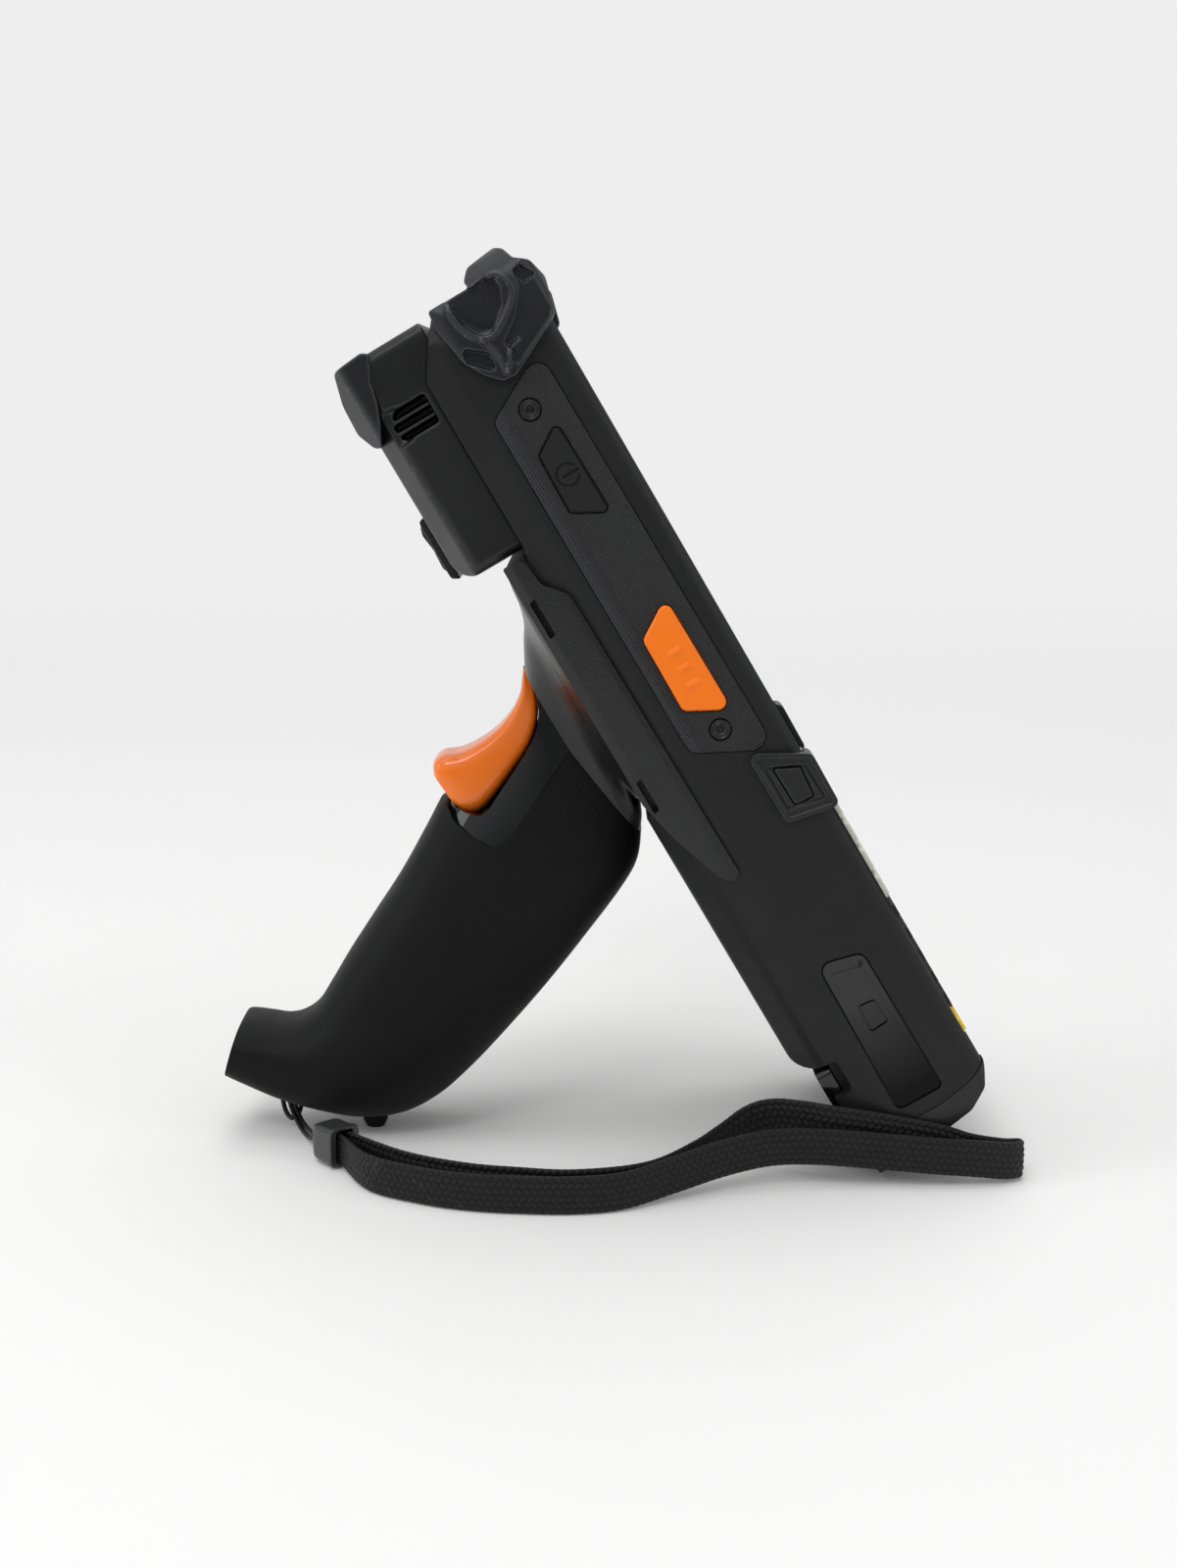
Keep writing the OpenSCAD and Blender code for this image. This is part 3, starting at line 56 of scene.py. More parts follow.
# ---------------------------------------------------------------- camera
LENS_MM = 48.0
CAMERA_PLACE = (0.0522, -0.4893, 0.17675)
LOOKING_DOWN = 10.621  # degrees
camera_data = bpy.data.cameras.new("camera")
camera_data.lens = LENS_MM
camera_data.sensor_width = 36.0
camera_data.clip_start = 0.01
camera_data.clip_end = 50.0
camera = bpy.data.objects.new("camera", camera_data)
bpy.context.scene.collection.objects.link(camera)
camera.location = CAMERA_PLACE
camera.rotation_euler = (math.radians(90 - LOOKING_DOWN), 0, 0)
bpy.context.scene.camera = camera


# ---------------------------------------------------------------- mesh helpers
def unit(v):
    return v.normalized()


def new_object(name, verts, faces, smooth=True):
    mesh = bpy.data.meshes.new(name)
    mesh.from_pydata([tuple(v) for v in verts], [], faces)
    mesh.validate()
    obj = bpy.data.objects.new(name, mesh)
    bpy.context.scene.collection.objects.link(obj)
    if smooth:
        mesh.polygons.foreach_set("use_smooth", [True] * len(mesh.polygons))
    return obj


def spline_point(a, b, c, d, t):
    square = (2 * a - 5 * b + 4 * c - d) * t * t
    cube = (3 * b - 3 * c + d - a) * t ** 3
    return 0.5 * (2 * b + (c - a) * t + square + cube)


def spline(rows, steps):
    """Catmull-Rom curve through rows of numbers."""
    out = []
    n = len(rows)
    for i in range(n - 1):
        quad = [rows[max(i - 1, 0)], rows[i], rows[i + 1], rows[min(i + 2, n - 1)]]
        for k in range(steps):
            out.append([spline_point(*values, k / steps) for values in zip(*quad)])
    out.append(list(rows[-1]))
    return out


def even_path(points, step):
    """The same curve as points at even distances."""
    pts = [Vector(p) for p in points]
    run = [0.0]
    for a, b in zip(pts, pts[1:]):
        run.append(run[-1] + (b - a).length)
    count = max(2, round(run[-1] / step))
    out = []
    j = 0
    for i in range(count + 1):
        s = run[-1] * i / count
        while j < len(run) - 2 and run[j + 1] < s:
            j += 1
        t = (s - run[j]) / max(run[j + 1] - run[j], 1e-12)
        out.append(pts[j].lerp(pts[j + 1], t))
    return out, run[-1]


def power(value, exponent):
    """Power of the size of a number, with its sign kept."""
    return math.copysign(abs(value) ** exponent, value)


def outward(obj):
    """Turns every face of a new object outward."""
    bm = bmesh.new()
    bm.from_mesh(obj.data)
    bmesh.ops.recalc_face_normals(bm, faces=bm.faces)
    bm.to_mesh(obj.data)
    bm.free()
    return obj


def skin(name, rings):
    """Solid through equal rings of points."""
    n = len(rings[0])
    verts = [p for ring in rings for p in ring]
    faces = []
    for i in range(len(rings) - 1):
        for j in range(n):
            k = (j + 1) % n
            faces.append((i * n + j, i * n + k, (i + 1) * n + k, (i + 1) * n + j))
    faces.append(tuple(range(n - 1, -1, -1)))
    faces.append(tuple((len(rings) - 1) * n + j for j in range(n)))
    return outward(new_object(name, verts, faces))


def prism(name, outline, y0, y1):
    """Solid from an outline of (depth, height) between two y planes, in the row frame."""
    n = len(outline)
    verts = [place(d, v, y0) for d, v in outline] + [place(d, v, y1) for d, v in outline]
    faces = [tuple(range(n)), tuple(range(2 * n - 1, n - 1, -1))]
    faces += [(j, n + j, n + (j + 1) % n, (j + 1) % n) for j in range(n)]
    return outward(new_object(name, verts, faces, smooth=False))


def rounded(corners, steps=6):
    """Outline with each (d, v, radius) corner drawn as an arc."""
    out = []
    n = len(corners)
    for i, corner in enumerate(corners):
        b = Vector(corner[:2])
        if len(corner) < 3:
            out.append(tuple(b))
            continue
        a = Vector(corners[i - 1][:2])
        c = Vector(corners[(i + 1) % n][:2])
        to_a = unit(a - b)
        to_c = unit(c - b)
        half = math.acos(max(-1.0, min(1.0, to_a.dot(to_c)))) / 2
        r = corner[2]
        middle = b + unit(to_a + to_c) * r / math.sin(half)
        first = b + to_a * r / math.tan(half) - middle
        last = b + to_c * r / math.tan(half) - middle
        turned = math.pi - 2 * half
        for k in range(steps + 1):
            t = k / steps
            arm = first * math.sin((1 - t) * turned) + last * math.sin(t * turned)
            out.append(tuple(middle + arm / math.sin(turned)))
    return out


def bake(obj):
    """Replaces the object's mesh by its evaluated one and drops the modifiers."""
    bpy.context.view_layer.update()
    graph = bpy.context.evaluated_depsgraph_get()
    mesh = bpy.data.meshes.new_from_object(obj.evaluated_get(graph))
    obj.modifiers.clear()
    obj.data = mesh
    return obj


def cut(obj, cutter, operation="DIFFERENCE"):
    """Boolean of obj with cutter, which is deleted."""
    mod = obj.modifiers.new("cut", "BOOLEAN")
    mod.operation = operation
    mod.solver = "EXACT"
    mod.object = cutter
    bake(obj)
    bpy.data.objects.remove(cutter)
    return obj


SAME_POINT = 2e-6
NORMAL_WEIGHT = 70


def copy_of(node, name):
    """A new object with a copy of a CAD node's mesh, for a piece that replaces it."""
    source = nodes[node]
    mesh = source.data.copy()
    mesh.materials.clear()
    obj = bpy.data.objects.new(name, mesh)
    bpy.context.scene.collection.objects.link(obj)
    bm = bmesh.new()
    bm.from_mesh(mesh)
    bmesh.ops.remove_doubles(bm, verts=bm.verts, dist=SAME_POINT)
    bmesh.ops.recalc_face_normals(bm, faces=bm.faces)
    bm.to_mesh(mesh)
    bm.free()
    for key in list(obj.keys()):
        del obj[key]
    return obj


def soften(obj, voxel, smoothing):
    """Moulded look: even remesh and a little smoothing of every edge."""
    remesh = obj.modifiers.new("remesh", "REMESH")
    remesh.mode = "VOXEL"
    remesh.voxel_size = voxel * MM
    remesh.use_smooth_shade = True
    smooth = obj.modifiers.new("smooth", "SMOOTH")
    smooth.factor = 0.5
    smooth.iterations = smoothing
    return obj


def crisp(obj, width=0.25, angle=32, segments=2):
    """Fine bevel on every real edge, and smooth shading between them."""
    mesh = obj.data
    mesh.polygons.foreach_set("use_smooth", [True] * len(mesh.polygons))
    weld = obj.modifiers.new("weld", "WELD")
    weld.merge_threshold = SAME_POINT
    if width:
        bevel = obj.modifiers.new("bevel", "BEVEL")
        bevel.width = width * MM
        bevel.segments = segments
        bevel.limit_method = "ANGLE"
        bevel.angle_limit = math.radians(angle)
        bevel.use_clamp_overlap = True
        bevel.miter_outer = "MITER_ARC"
    normals = obj.modifiers.new("normals", "WEIGHTED_NORMAL")
    normals.mode = "FACE_AREA_WITH_ANGLE"
    normals.weight = NORMAL_WEIGHT
    normals.keep_sharp = False
    return obj


def paint_piece(obj, material):
    obj.data.materials.clear()
    obj.data.materials.append(material)
    return obj


def settle(obj, material, node, body="terminal"):
    """Paints a new piece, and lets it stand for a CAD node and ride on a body."""
    paint_piece(obj, material)
    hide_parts(node)
    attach(obj, body)


# ---------------------------------------------------------------- materials
PATCHES = (0.35, 0.65)  # levels of a noise between which it turns from one value to the other


class Paint:
    """A node material with short helpers for building its bump and variation."""

    def __init__(self, name, colour, roughness, **sockets):
        self.material = bpy.data.materials.new(name)
        self.material.use_nodes = True
        self.tree = self.material.node_tree
        self.shader = self.tree.nodes["Principled BSDF"]
        self.shader.inputs["Base Color"].default_value = colour
        self.shader.inputs["Roughness"].default_value = roughness
        for key, value in sockets.items():
            self.shader.inputs[key.replace("_", " ")].default_value = value
        self.bump = None

    def node(self, kind, **values):
        made = self.tree.nodes.new(kind)
        for key, value in values.items():
            setattr(made, key, value)
        return made

    def link(self, a, b):
        self.tree.links.new(a, b)

    def coords(self, turned=False):
        """Object coordinates in the row frame, or turned into the terminal's own axes."""
        source = self.node("ShaderNodeTexCoord").outputs["Object"]
        if not turned:
            return source
        turn = self.node("ShaderNodeVectorRotate", rotation_type="Y_AXIS")
        turn.inputs["Angle"].default_value = LEAN
        self.link(source, turn.inputs["Vector"])
        return turn.outputs["Vector"]

    def turned_axes(self):
        """X, Y and Z of the terminal's own axes."""
        split = self.node("ShaderNodeSeparateXYZ")
        self.link(self.coords(turned=True), split.inputs["Vector"])
        return split.outputs

    def colour_between(self, factor, a, b):
        self.link(self.mix(factor, a, b), self.shader.inputs["Base Color"])
        return self

    def noise(self, scale, detail=2.0, rough=0.5):
        made = self.node("ShaderNodeTexNoise")
        made.inputs["Scale"].default_value = scale
        made.inputs["Detail"].default_value = detail
        made.inputs["Roughness"].default_value = rough
        self.link(self.coords(), made.inputs["Vector"])
        return made.outputs["Fac"]

    def math(self, operation, a, b=None):
        made = self.node("ShaderNodeMath", operation=operation)
        for socket, value in zip(made.inputs, (a, b)):
            if value is None:
                continue
            if isinstance(value, (int, float)):
                socket.default_value = value
            else:
                self.link(value, socket)
        return made.outputs[0]

    def ramp(self, value, low, high, out_low=0.0, out_high=1.0):
        made = self.node("ShaderNodeMapRange")
        made.clamp = True
        self.link(value, made.inputs["Value"])
        made.inputs["From Min"].default_value = low
        made.inputs["From Max"].default_value = high
        made.inputs["To Min"].default_value = out_low
        made.inputs["To Max"].default_value = out_high
        return made.outputs["Result"]

    def mix(self, factor, a, b):
        made = self.node("ShaderNodeMix", data_type="RGBA")
        self.link(factor, made.inputs["Factor"])
        made.inputs[6].default_value = a
        made.inputs[7].default_value = b
        return made.outputs[2]

    def add_bump(self, height, distance, strength=1.0):
        made = self.node("ShaderNodeBump")
        made.inputs["Strength"].default_value = strength
        made.inputs["Distance"].default_value = distance
        self.link(height, made.inputs["Height"])
        if self.bump:
            self.link(self.bump, made.inputs["Normal"])
        self.bump = made.outputs["Normal"]
        self.link(self.bump, self.shader.inputs["Normal"])
        return self

    def painted_edge_light(self, dark, flat, edge_highlight, spread=0.06):
        """Painted highlight on convex edges and painted shade in creases, drawn into the colour from the
        mesh's pointiness.
        """
        # Pointiness below the middle darkens the colour towards a painted crease shade, above it lightens it
        # towards a painted edge highlight.
        curve = self.node("ShaderNodeNewGeometry").outputs["Pointiness"]
        low = self.mix(self.ramp(curve, 0.5 - spread, 0.5), dark, flat)
        high = self.ramp(curve, 0.5, 0.5 + spread)
        made = self.node("ShaderNodeMix", data_type="RGBA")
        self.link(high, made.inputs["Factor"])
        self.link(low, made.inputs[6])
        made.inputs[7].default_value = edge_highlight
        self.link(made.outputs[2], self.shader.inputs["Base Color"])
        return self

    def vary_colour(self, a, b, scale):
        return self.colour_between(self.ramp(self.noise(scale, 4.0, 0.6), *PATCHES), a, b)

    def vary_roughness(self, low, high, scale):
        patches = self.ramp(self.noise(scale, 5.0, 0.6), *PATCHES, low, high)
        self.link(patches, self.shader.inputs["Roughness"])
        return self


def shade(level, blue=1.03):
    """Near-neutral dark colour."""
    return (level, level * 1.01, level * blue, 1.0)


def grained(name, level, roughness, grain=2600, depth=0.00006, tint=1.05, specular=0.5, edge_highlight_gain=0):
    """Moulded plastic with an even spark-eroded grain and soft wear in its gloss; with a highlight gain
    given, its colour carries a painted highlight on convex edges and painted shade in creases in place of
    random tone.
    """
    paint = Paint(name, shade(level, tint), roughness, IOR=1.5, Specular_IOR_Level=specular)
    if edge_highlight_gain:
        # Painted shade in creases at 0.3 of the level, painted highlight on edges at the gain times the
        # level.
        paint.painted_edge_light(shade(level * 0.3, tint), shade(level, tint), shade(level * edge_highlight_gain, tint), 0.05)
    else:
        paint.vary_colour(shade(level * 0.86, tint), shade(level * 1.12, tint), 26)
    paint.vary_roughness(roughness - 0.06, roughness + 0.06, 34)
    paint.add_bump(paint.noise(grain, 1.0, 0.5), depth, 0.5)
    return paint.material


def rubber():
    paint = Paint("grip_black", shade(0.005, 1.05), 0.6, IOR=1.48, Specular_IOR_Level=0.16)
    paint.vary_colour(shade(0.0042, 1.05), shade(0.006, 1.05), 18)
    paint.vary_roughness(0.5, 0.62, 22)
    paint.add_bump(paint.noise(3400, 1.0), 0.00003, 0.5)
    return paint.material


RIB_PITCH = 0.00058
STRIP_FROM = 0.1139
STRIP_TO = 0.1165
SOFT_EDGE = 0.0001


def ribbed_panel():
    """Dark grey side panel with a fine square grid of ribs, paler in a strip along its back edge."""
    paint = Paint("panel_grey", shade(0.011, 1.12), 0.42, IOR=1.5, Specular_IOR_Level=0.34)
    axes = paint.turned_axes()
    turns = 2 * math.pi / RIB_PITCH
    along, across = [paint.math("SINE", paint.math("MULTIPLY", axes[k], turns)) for k in "ZX"]
    grid = paint.math("MULTIPLY", paint.math("ADD", along, 1.0), paint.math("ADD", across, 1.0))
    back = paint.ramp(axes["X"], STRIP_TO - SOFT_EDGE, STRIP_TO + SOFT_EDGE, 1.0, 0.0)
    far = paint.ramp(axes["X"], STRIP_FROM - SOFT_EDGE, STRIP_FROM + SOFT_EDGE, 0.0, 1.0)
    squares = paint.math("MULTIPLY", paint.math("MULTIPLY", back, far), paint.ramp(grid, 0.6, 1.6))
    paint.colour_between(squares, shade(0.011, 1.12), shade(0.034, 1.16))
    paint.add_bump(grid, 0.00008, 0.6)
    paint.add_bump(paint.noise(3000, 1.0), 0.00003, 0.4)
    return paint.material


def polished(name, colour, roughness):
    paint = Paint(name, colour, roughness, IOR=1.52)
    paint.vary_roughness(max(roughness - 0.03, 0.02), roughness + 0.05, 45)
    paint.add_bump(paint.noise(90, 2.0), 0.00002, 0.25)
    return paint.material


DOCK_REFLECTION_DARK_BELOW = -0.044
DOCK_REFLECTION_PALE_ABOVE = -0.02


def dock_gloss():
    """Polished black of the dock plates, with a painted reflection: darker and less specular towards the low
    end, where the dark strap in front is mirrored.
    """
    paint = Paint("dock_black", shade(0.01, 1.08), 0.1, IOR=1.5)
    height = paint.turned_axes()["Z"]
    # Painted reflection: base colour and specular level fall towards the low end in place of the dark strap
    # mirrored there.
    low = paint.ramp(height, DOCK_REFLECTION_DARK_BELOW, DOCK_REFLECTION_PALE_ABOVE)
    paint.colour_between(low, shade(0.0022, 1.1), shade(0.016, 1.06))
    gloss = paint.ramp(height, DOCK_REFLECTION_DARK_BELOW, DOCK_REFLECTION_PALE_ABOVE, 0.12, 0.4)
    paint.link(gloss, paint.shader.inputs["Specular IOR Level"])
    paint.vary_roughness(0.07, 0.14, 45)
    return paint.material


def orange_rubber():
    paint = Paint("button_orange", (0.97, 0.2, 0.01, 1), 0.42, IOR=1.45, Specular_IOR_Level=0.3)
    paint.vary_colour((0.95, 0.195, 0.009, 1), (0.99, 0.21, 0.011, 1), 60)
    paint.add_bump(paint.noise(2600, 1.0), 0.00003, 0.4)
    return paint.material


SIGN_FLOOR = -0.03903
BUTTON_FACE = -0.03911


def signed_button():
    """Dark rubber key whose sunk standby sign is filled with black."""
    paint = Paint("power_grey", shade(0.0085, 1.1), 0.5, IOR=1.5, Specular_IOR_Level=0.3)
    sunk = paint.ramp(paint.turned_axes()["Y"], BUTTON_FACE, SIGN_FLOOR)
    paint.colour_between(sunk, shade(0.0105, 1.1), shade(0.0012, 1.0))
    paint.add_bump(paint.noise(2600, 1.0), 0.00004, 0.4)
    return paint.material


def plain(name, colour, roughness, **sockets):
    paint = Paint(name, colour, roughness, **sockets)
    dark = tuple(c * 0.94 for c in colour[:3]) + (1,)
    paint.vary_colour(dark, colour, 80)
    paint.add_bump(paint.noise(2600, 1.0), 0.00003, 0.4)
    return paint.material


def webbing():
    """Black woven polyester, with a painted highlight on the tops of its stitches and painted shade between
    them.
    """
    paint = Paint("webbing_black", (0.0062, 0.006, 0.0058, 1), 0.5, IOR=1.45, Specular_IOR_Level=0.3,
                  Sheen_Weight=0.06, Sheen_Roughness=0.35, Sheen_Tint=(0.5, 0.5, 0.52, 1))
    # Painted shade between the stitches, the plain thread colour, and a painted highlight on the stitch tops.
    between = (0.0006, 0.0006, 0.0006, 1)
    thread = (0.0038, 0.0037, 0.0036, 1)
    stitch_highlight = (0.026, 0.025, 0.0245, 1)
    paint.painted_edge_light(between, thread, stitch_highlight, 0.09)
    paint.add_bump(paint.noise(9000, 2.0), 0.00006, 0.6)
    return paint.material


housing_black = grained("housing_black", 0.0095, 0.5, depth=0.00005, specular=0.28)
cover_black = grained("cover_black", 0.012, 0.48, specular=0.3)
end_cap_black = grained("end_cap_black", 0.014, 0.44, specular=0.36)
saddle_black = grained("saddle_black", 0.009, 0.33, grain=1500, depth=0.0001, specular=0.4)
# Bumpers, clips and head get a painted highlight on their edges and painted shade in their creases through
# the highlight gain.
bumper_grey = grained("bumper_grey", 0.011, 0.34, grain=2000, tint=1.2, specular=0.4, edge_highlight_gain=4)
clip_black = grained("clip_black", 0.009, 0.36, specular=0.36, edge_highlight_gain=4)
head_black = grained("head_black", 0.009, 0.36, specular=0.36, edge_highlight_gain=2.5)
button_grey = grained("button_grey", 0.0085, 0.5, tint=1.1, specular=0.3)
key_black = grained("key_black", 0.014, 0.5, depth=0.00003, specular=0.3)
slider_grey = grained("slider_grey", 0.03, 0.34, depth=0.00002, specular=0.6)
inner_grey = grained("inner_grey", 0.12, 0.5)
grip_black = rubber()
panel_grey = ribbed_panel()
gloss_black = polished("gloss_black", shade(0.005, 1.12), 0.05)
dock_black = dock_gloss()
trigger_orange = polished("trigger_orange", (0.98, 0.2, 0.014, 1), 0.2)
button_orange = orange_rubber()
power_grey = signed_button()
key_white = plain("key_white", (0.72, 0.69, 0.62, 1), 0.5)
key_yellow = plain("key_yellow", (0.82, 0.56, 0.02, 1), 0.5)
board_green = plain("board_green", (0.02, 0.12, 0.05, 1), 0.4)
steel = plain("steel", (0.5, 0.5, 0.51, 1), 0.3, Metallic=1.0)
screw_black = plain("screw_black", (0.004, 0.004, 0.0044, 1), 0.3)
screen_glass = polished("screen_glass", (0.006, 0.007, 0.009, 1), 0.04)
window_glass = polished("window_glass", (0.06, 0.004, 0.006, 1), 0.05)
webbing_black = webbing()

# ---------------------------------------------------------------- cords
# From the slider up through its own bight, twice round the eyelet pin, and back to the slider
STRING_ROUTE = [
    (-10.1, -20.9, 5), (-12.5, -16, 3.2), (-15.2, -9.6, 2.2), (-17.5, -5, 2.9), (-19.1, -2.6, 5.2),
    (-19.3, -2.2, 7.6), (-18.3, -1.9, 10), (-20.2, -1.5, 11.9), (-22.1, -1.1, 10), (-22.5, -0.8, 6.6),
    (-21.6, -2.2, 4), (-19.9, -4.2, 3.1), (-18.4, -2.8, 4), (-17.9, -0.6, 6.6), (-18.3, 0.2, 10),
    (-20.2, 0.6, 11.9), (-22.1, 0.9, 10), (-21.3, -0.6, 7.8), (-20.4, -2, 5.4), (-18.9, -4.6, 3.2),
    (-16.8, -8.4, 1.5), (-14.2, -14.4, 1.8), (-11.9, -20.6, 4.4),
]
# Out of the slider, past the heel to the far bend, and back to the slider
BAND_ROUTE = [
    (-6.6, -28.1, 4.9), (-4.6, -30.6, 4.8), (3, -44.2, 4.6), (15.8, -52.2, 4.6), (27, -56, 4.6),
    (38, -57.5, 4.6), (49, -57.8, 4.6), (60, -55.6, 4.8), (71, -50, 6.2), (82, -46, 8.5), (93, -43.4, 10.1),
    (104, -42.7, 10.1), (118, -42.7, 9), (130, -42.7, 7.9), (140, -41.6, 6.8), (147, -39.4, 5.5),
    (150.6, -37, 5), (150.2, -35.2, 5), (146, -36.2, 5.4), (138, -38.6, 7.5), (130, -39.6, 10.3),
    (116, -39.7, 13), (107, -39.3, 14.3), (101, -37, 14.6), (94.4, -33.6, 13.9), (89, -33.2, 12.1),
    (83, -36, 9), (76, -41, 6.4), (65, -50, 5), (49.4, -53.5, 4.6), (36, -52, 4.6), (24, -49, 4.6),
    (10, -41.6, 4.6), (-2, -29.6, 4.8), (-4.4, -26.9, 4.9),
]
BAND_W = 9.0
BAND_T = 1.4
STRING_D = 1.2
STITCH_PITCH = 0.0017
STITCH_RELIEF = 0.00036
RIDGES = 6
BUNCHED = 0.022  # length of webbing that is gathered at the slider
STRING_WEAVE = 0.00004


def route_path(route, step):
    return even_path([tuple(c * MM for c in p) for p in spline(route, 8)], step)


def sweep(name, path, ring, reference):
    """Tube along a path; ring(i) gives the (across, up) offsets at one station."""
    rings = []
    last = len(path) - 1
    for i, point in enumerate(path):
        tangent = unit(path[min(i + 1, last)] - path[max(i - 1, 0)])
        side = unit(reference.cross(tangent))
        top = tangent.cross(side)
        rings.append([point + side * a + top * b for a, b in ring(i)])
    return skin(name, rings)


def webbing_band():
    """Tubular woven strap: ridges of slanted stitches, bunched where both ends enter the slider."""
    path, length = route_path(BAND_ROUTE, 0.0002)
    around = 84

    def ring(i):
        s = i * length / (len(path) - 1)
        near_slider = min(s, length - s) / BUNCHED
        spread = 0.8 + 0.2 * math.sin(min(near_slider, 1) * math.pi / 2)
        half_height = (BAND_W / 2 - 0.1) * MM * spread
        out = []
        for k in range(around):
            turn = 2 * math.pi * (k + 0.5) / around
            c = power(math.cos(turn), 0.5)
            u = power(math.sin(turn), 0.92)
            lane = (u * 0.5 + 0.5) * RIDGES
            ridge = math.floor(lane)
            inside = lane - ridge
            slant = 0.55 if ridge % 2 else -0.55
            phase = (s / STITCH_PITCH + 0.5 * (ridge % 2) + (inside - 0.5) * slant) % 1.0
            stitch = math.sin(math.pi * phase) ** 0.6 * math.sin(math.pi * inside) ** 0.55
            lift = STITCH_RELIEF * (stitch - 0.6)
            across = c * (BAND_T / 2 * MM - 0.0001 + lift)
            up = u * half_height + power(math.sin(turn), 5) * lift * 0.5
            out.append((across, up))
        return out

    return sweep("strap_webbing", path, ring, Vector((0, 0, 1))), path, length


def string_loop():
    """Braided string: two sets of fine strands crossing."""
    path, length = route_path(STRING_ROUTE, 0.0002)

    def ring(i):
        s = i * length / (len(path) - 1)
        out = []
        for k in range(20):
            turn = 2 * math.pi * k / 20
            wind = 2 * math.pi * s / 0.0022
            weave = math.sin(4 * turn + wind) * math.sin(4 * turn - wind)
            r = STRING_D / 2 * MM - STRING_WEAVE + STRING_WEAVE * weave
            out.append((r * math.cos(turn), r * math.sin(turn)))
        return out

    return sweep("strap_cord", path, ring, Vector((1, 0.5, 0.1))), path, length


band, band_path, band_length = webbing_band()
string, string_path, string_length = string_loop()
settle(band, webbing_black, "strap_band")
settle(string, webbing_black, "strap_string")

SLIDER_MIDDLE = Vector((-7.3, -25.5, 5.1))
SLIDER_TURN = math.radians(-48)


def slider():
    """Small moulded block, round at the string's end, with a thin lip round the open mouth."""
    along = Vector((math.cos(SLIDER_TURN), math.sin(SLIDER_TURN), 0))
    beside = Vector((-along.y, along.x, 0))

    def box(name, stations, exponent):
        rings = []
        for s, half_w, half_h in stations:
            ring = []
            for k in range(48):
                turn = 2 * math.pi * (k + 0.5) / 48
                across = power(math.cos(turn), exponent) * half_w
                up = power(math.sin(turn), exponent) * half_h
                ring.append((SLIDER_MIDDLE + along * s + beside * across + Vector((0, 0, up))) * MM)
            rings.append(ring)
        return skin(name, rings)

    outer = [(-4.6, 1.8, 2.6), (-4.4, 2.4, 3.2), (-3.8, 3.1, 3.8), (-2.9, 3.6, 4.2), (-1.8, 3.8, 4.35),
             (4.1, 3.9, 4.4), (4.45, 3.9, 4.4), (4.6, 3.75, 4.25)]
    inner = [(-1.4, 2, 3.2), (-1, 2.3, 3.7), (4, 2.4, 3.9), (9, 2.4, 3.9)]
    body = box("strap_slider_block", outer, 0.3)
    cut(body, box("mouth", inner, 0.25))
    lip = box("lip", [(3.4, 4, 4.5), (3.5, 4.1, 4.6), (4.5, 4.1, 4.6), (4.7, 3.95, 4.45)], 0.3)
    cut(lip, box("lip_hole", [(0, 2.6, 3.95), (9, 2.6, 3.95)], 0.25))
    cut(body, lip, "UNION")
    return body


slider_block = slider()
crisp(slider_block, 0.12, 40, 2)
settle(slider_block, slider_grey, "strap_slider")


def stations(path, every):
    return [tuple(p) for p in path[::every]] + [tuple(path[-1])]


# ---------------------------------------------------------------- grip
# Each row: depth and height of the front point and of the back point, and half the width
GRIP_ROWS = [
    (42, 136, 35, 101.5, 12.6), (54, 133.4, 38.5, 97, 13.4), (66, 129.6, 42, 92.5, 14.4),
    (78.5, 123.2, 46.5, 86.6, 15.8), (86, 118.6, 53, 82.6, 16.8), (97, 112.1, 66, 77, 17.2),
    (108, 106.6, 80, 71.4, 17.4), (118, 101.6, 94.4, 66.4, 17.4), (126, 97.2, 106.6, 62.7, 17.2),
    (132, 94.2, 116.8, 60.6, 16.8), (137.2, 93.8, 126.2, 61, 16.2), (141.2, 95.2, 135.2, 64.8, 15.5),
    (144.1, 97.6, 142.8, 70.8, 14.8), (146.4, 99.5, 149.8, 78, 14.2), (148, 100.5, 155.4, 85.6, 13.8),
    (148.9, 100.5, 159, 91, 13.6),
]
GRIP_POWER = 0.74


def oval(row, inset, exponent, around, y_sign=0):
    """Ring between the front and back points of a row, whole or one half of it."""
    front = Vector(row[0:2])
    back = Vector(row[2:4])
    middle = (front + back) / 2
    reach = (front - back).length / 2 - inset
    across = unit(front - back)
    half = row[4] - inset
    out = []
    for k in range(around):
        if y_sign:
            turn = math.pi * k / (around - 1)
        else:
            turn = 2 * math.pi * (k + 0.5) / around
        p = middle + across * reach * power(math.cos(turn), exponent)
        y = half * power(math.sin(turn), exponent) * (y_sign or 1)
        if y_sign and k in (0, around - 1):
            y = 0.0
        out.append(place(p.x, p.y, y))
    return out


GRIP_EDGE = [
    (86, 125.5), (78.2, 121.6, 1), (78.3, 117.6, 2), (76.6, 113.4, 2), (73.4, 108.2, 2.4), (69.6, 107.4, 2),
    (46.1, 118.5), (42.3, 92.8), (40, 70), (40, 30), (200, 30), (200, 160), (100, 160),
]
TRIGGER_POCKET = [
    (45, 145), (45, 126), (47.2, 120.6, 2), (50.4, 118.4, 2), (57.4, 114, 3), (65.4, 110.9, 3),
    (70.6, 110.6, 2), (74, 113.4, 2), (76.6, 119), (77.2, 125), (84, 150),
]
TRIGGER_W = 17.0
PART_LINE = [(50.4, 115.5), (48.9, 109.6), (48.2, 105), (48.4, 101.6), (50, 98.4), (53.5, 95.1)]


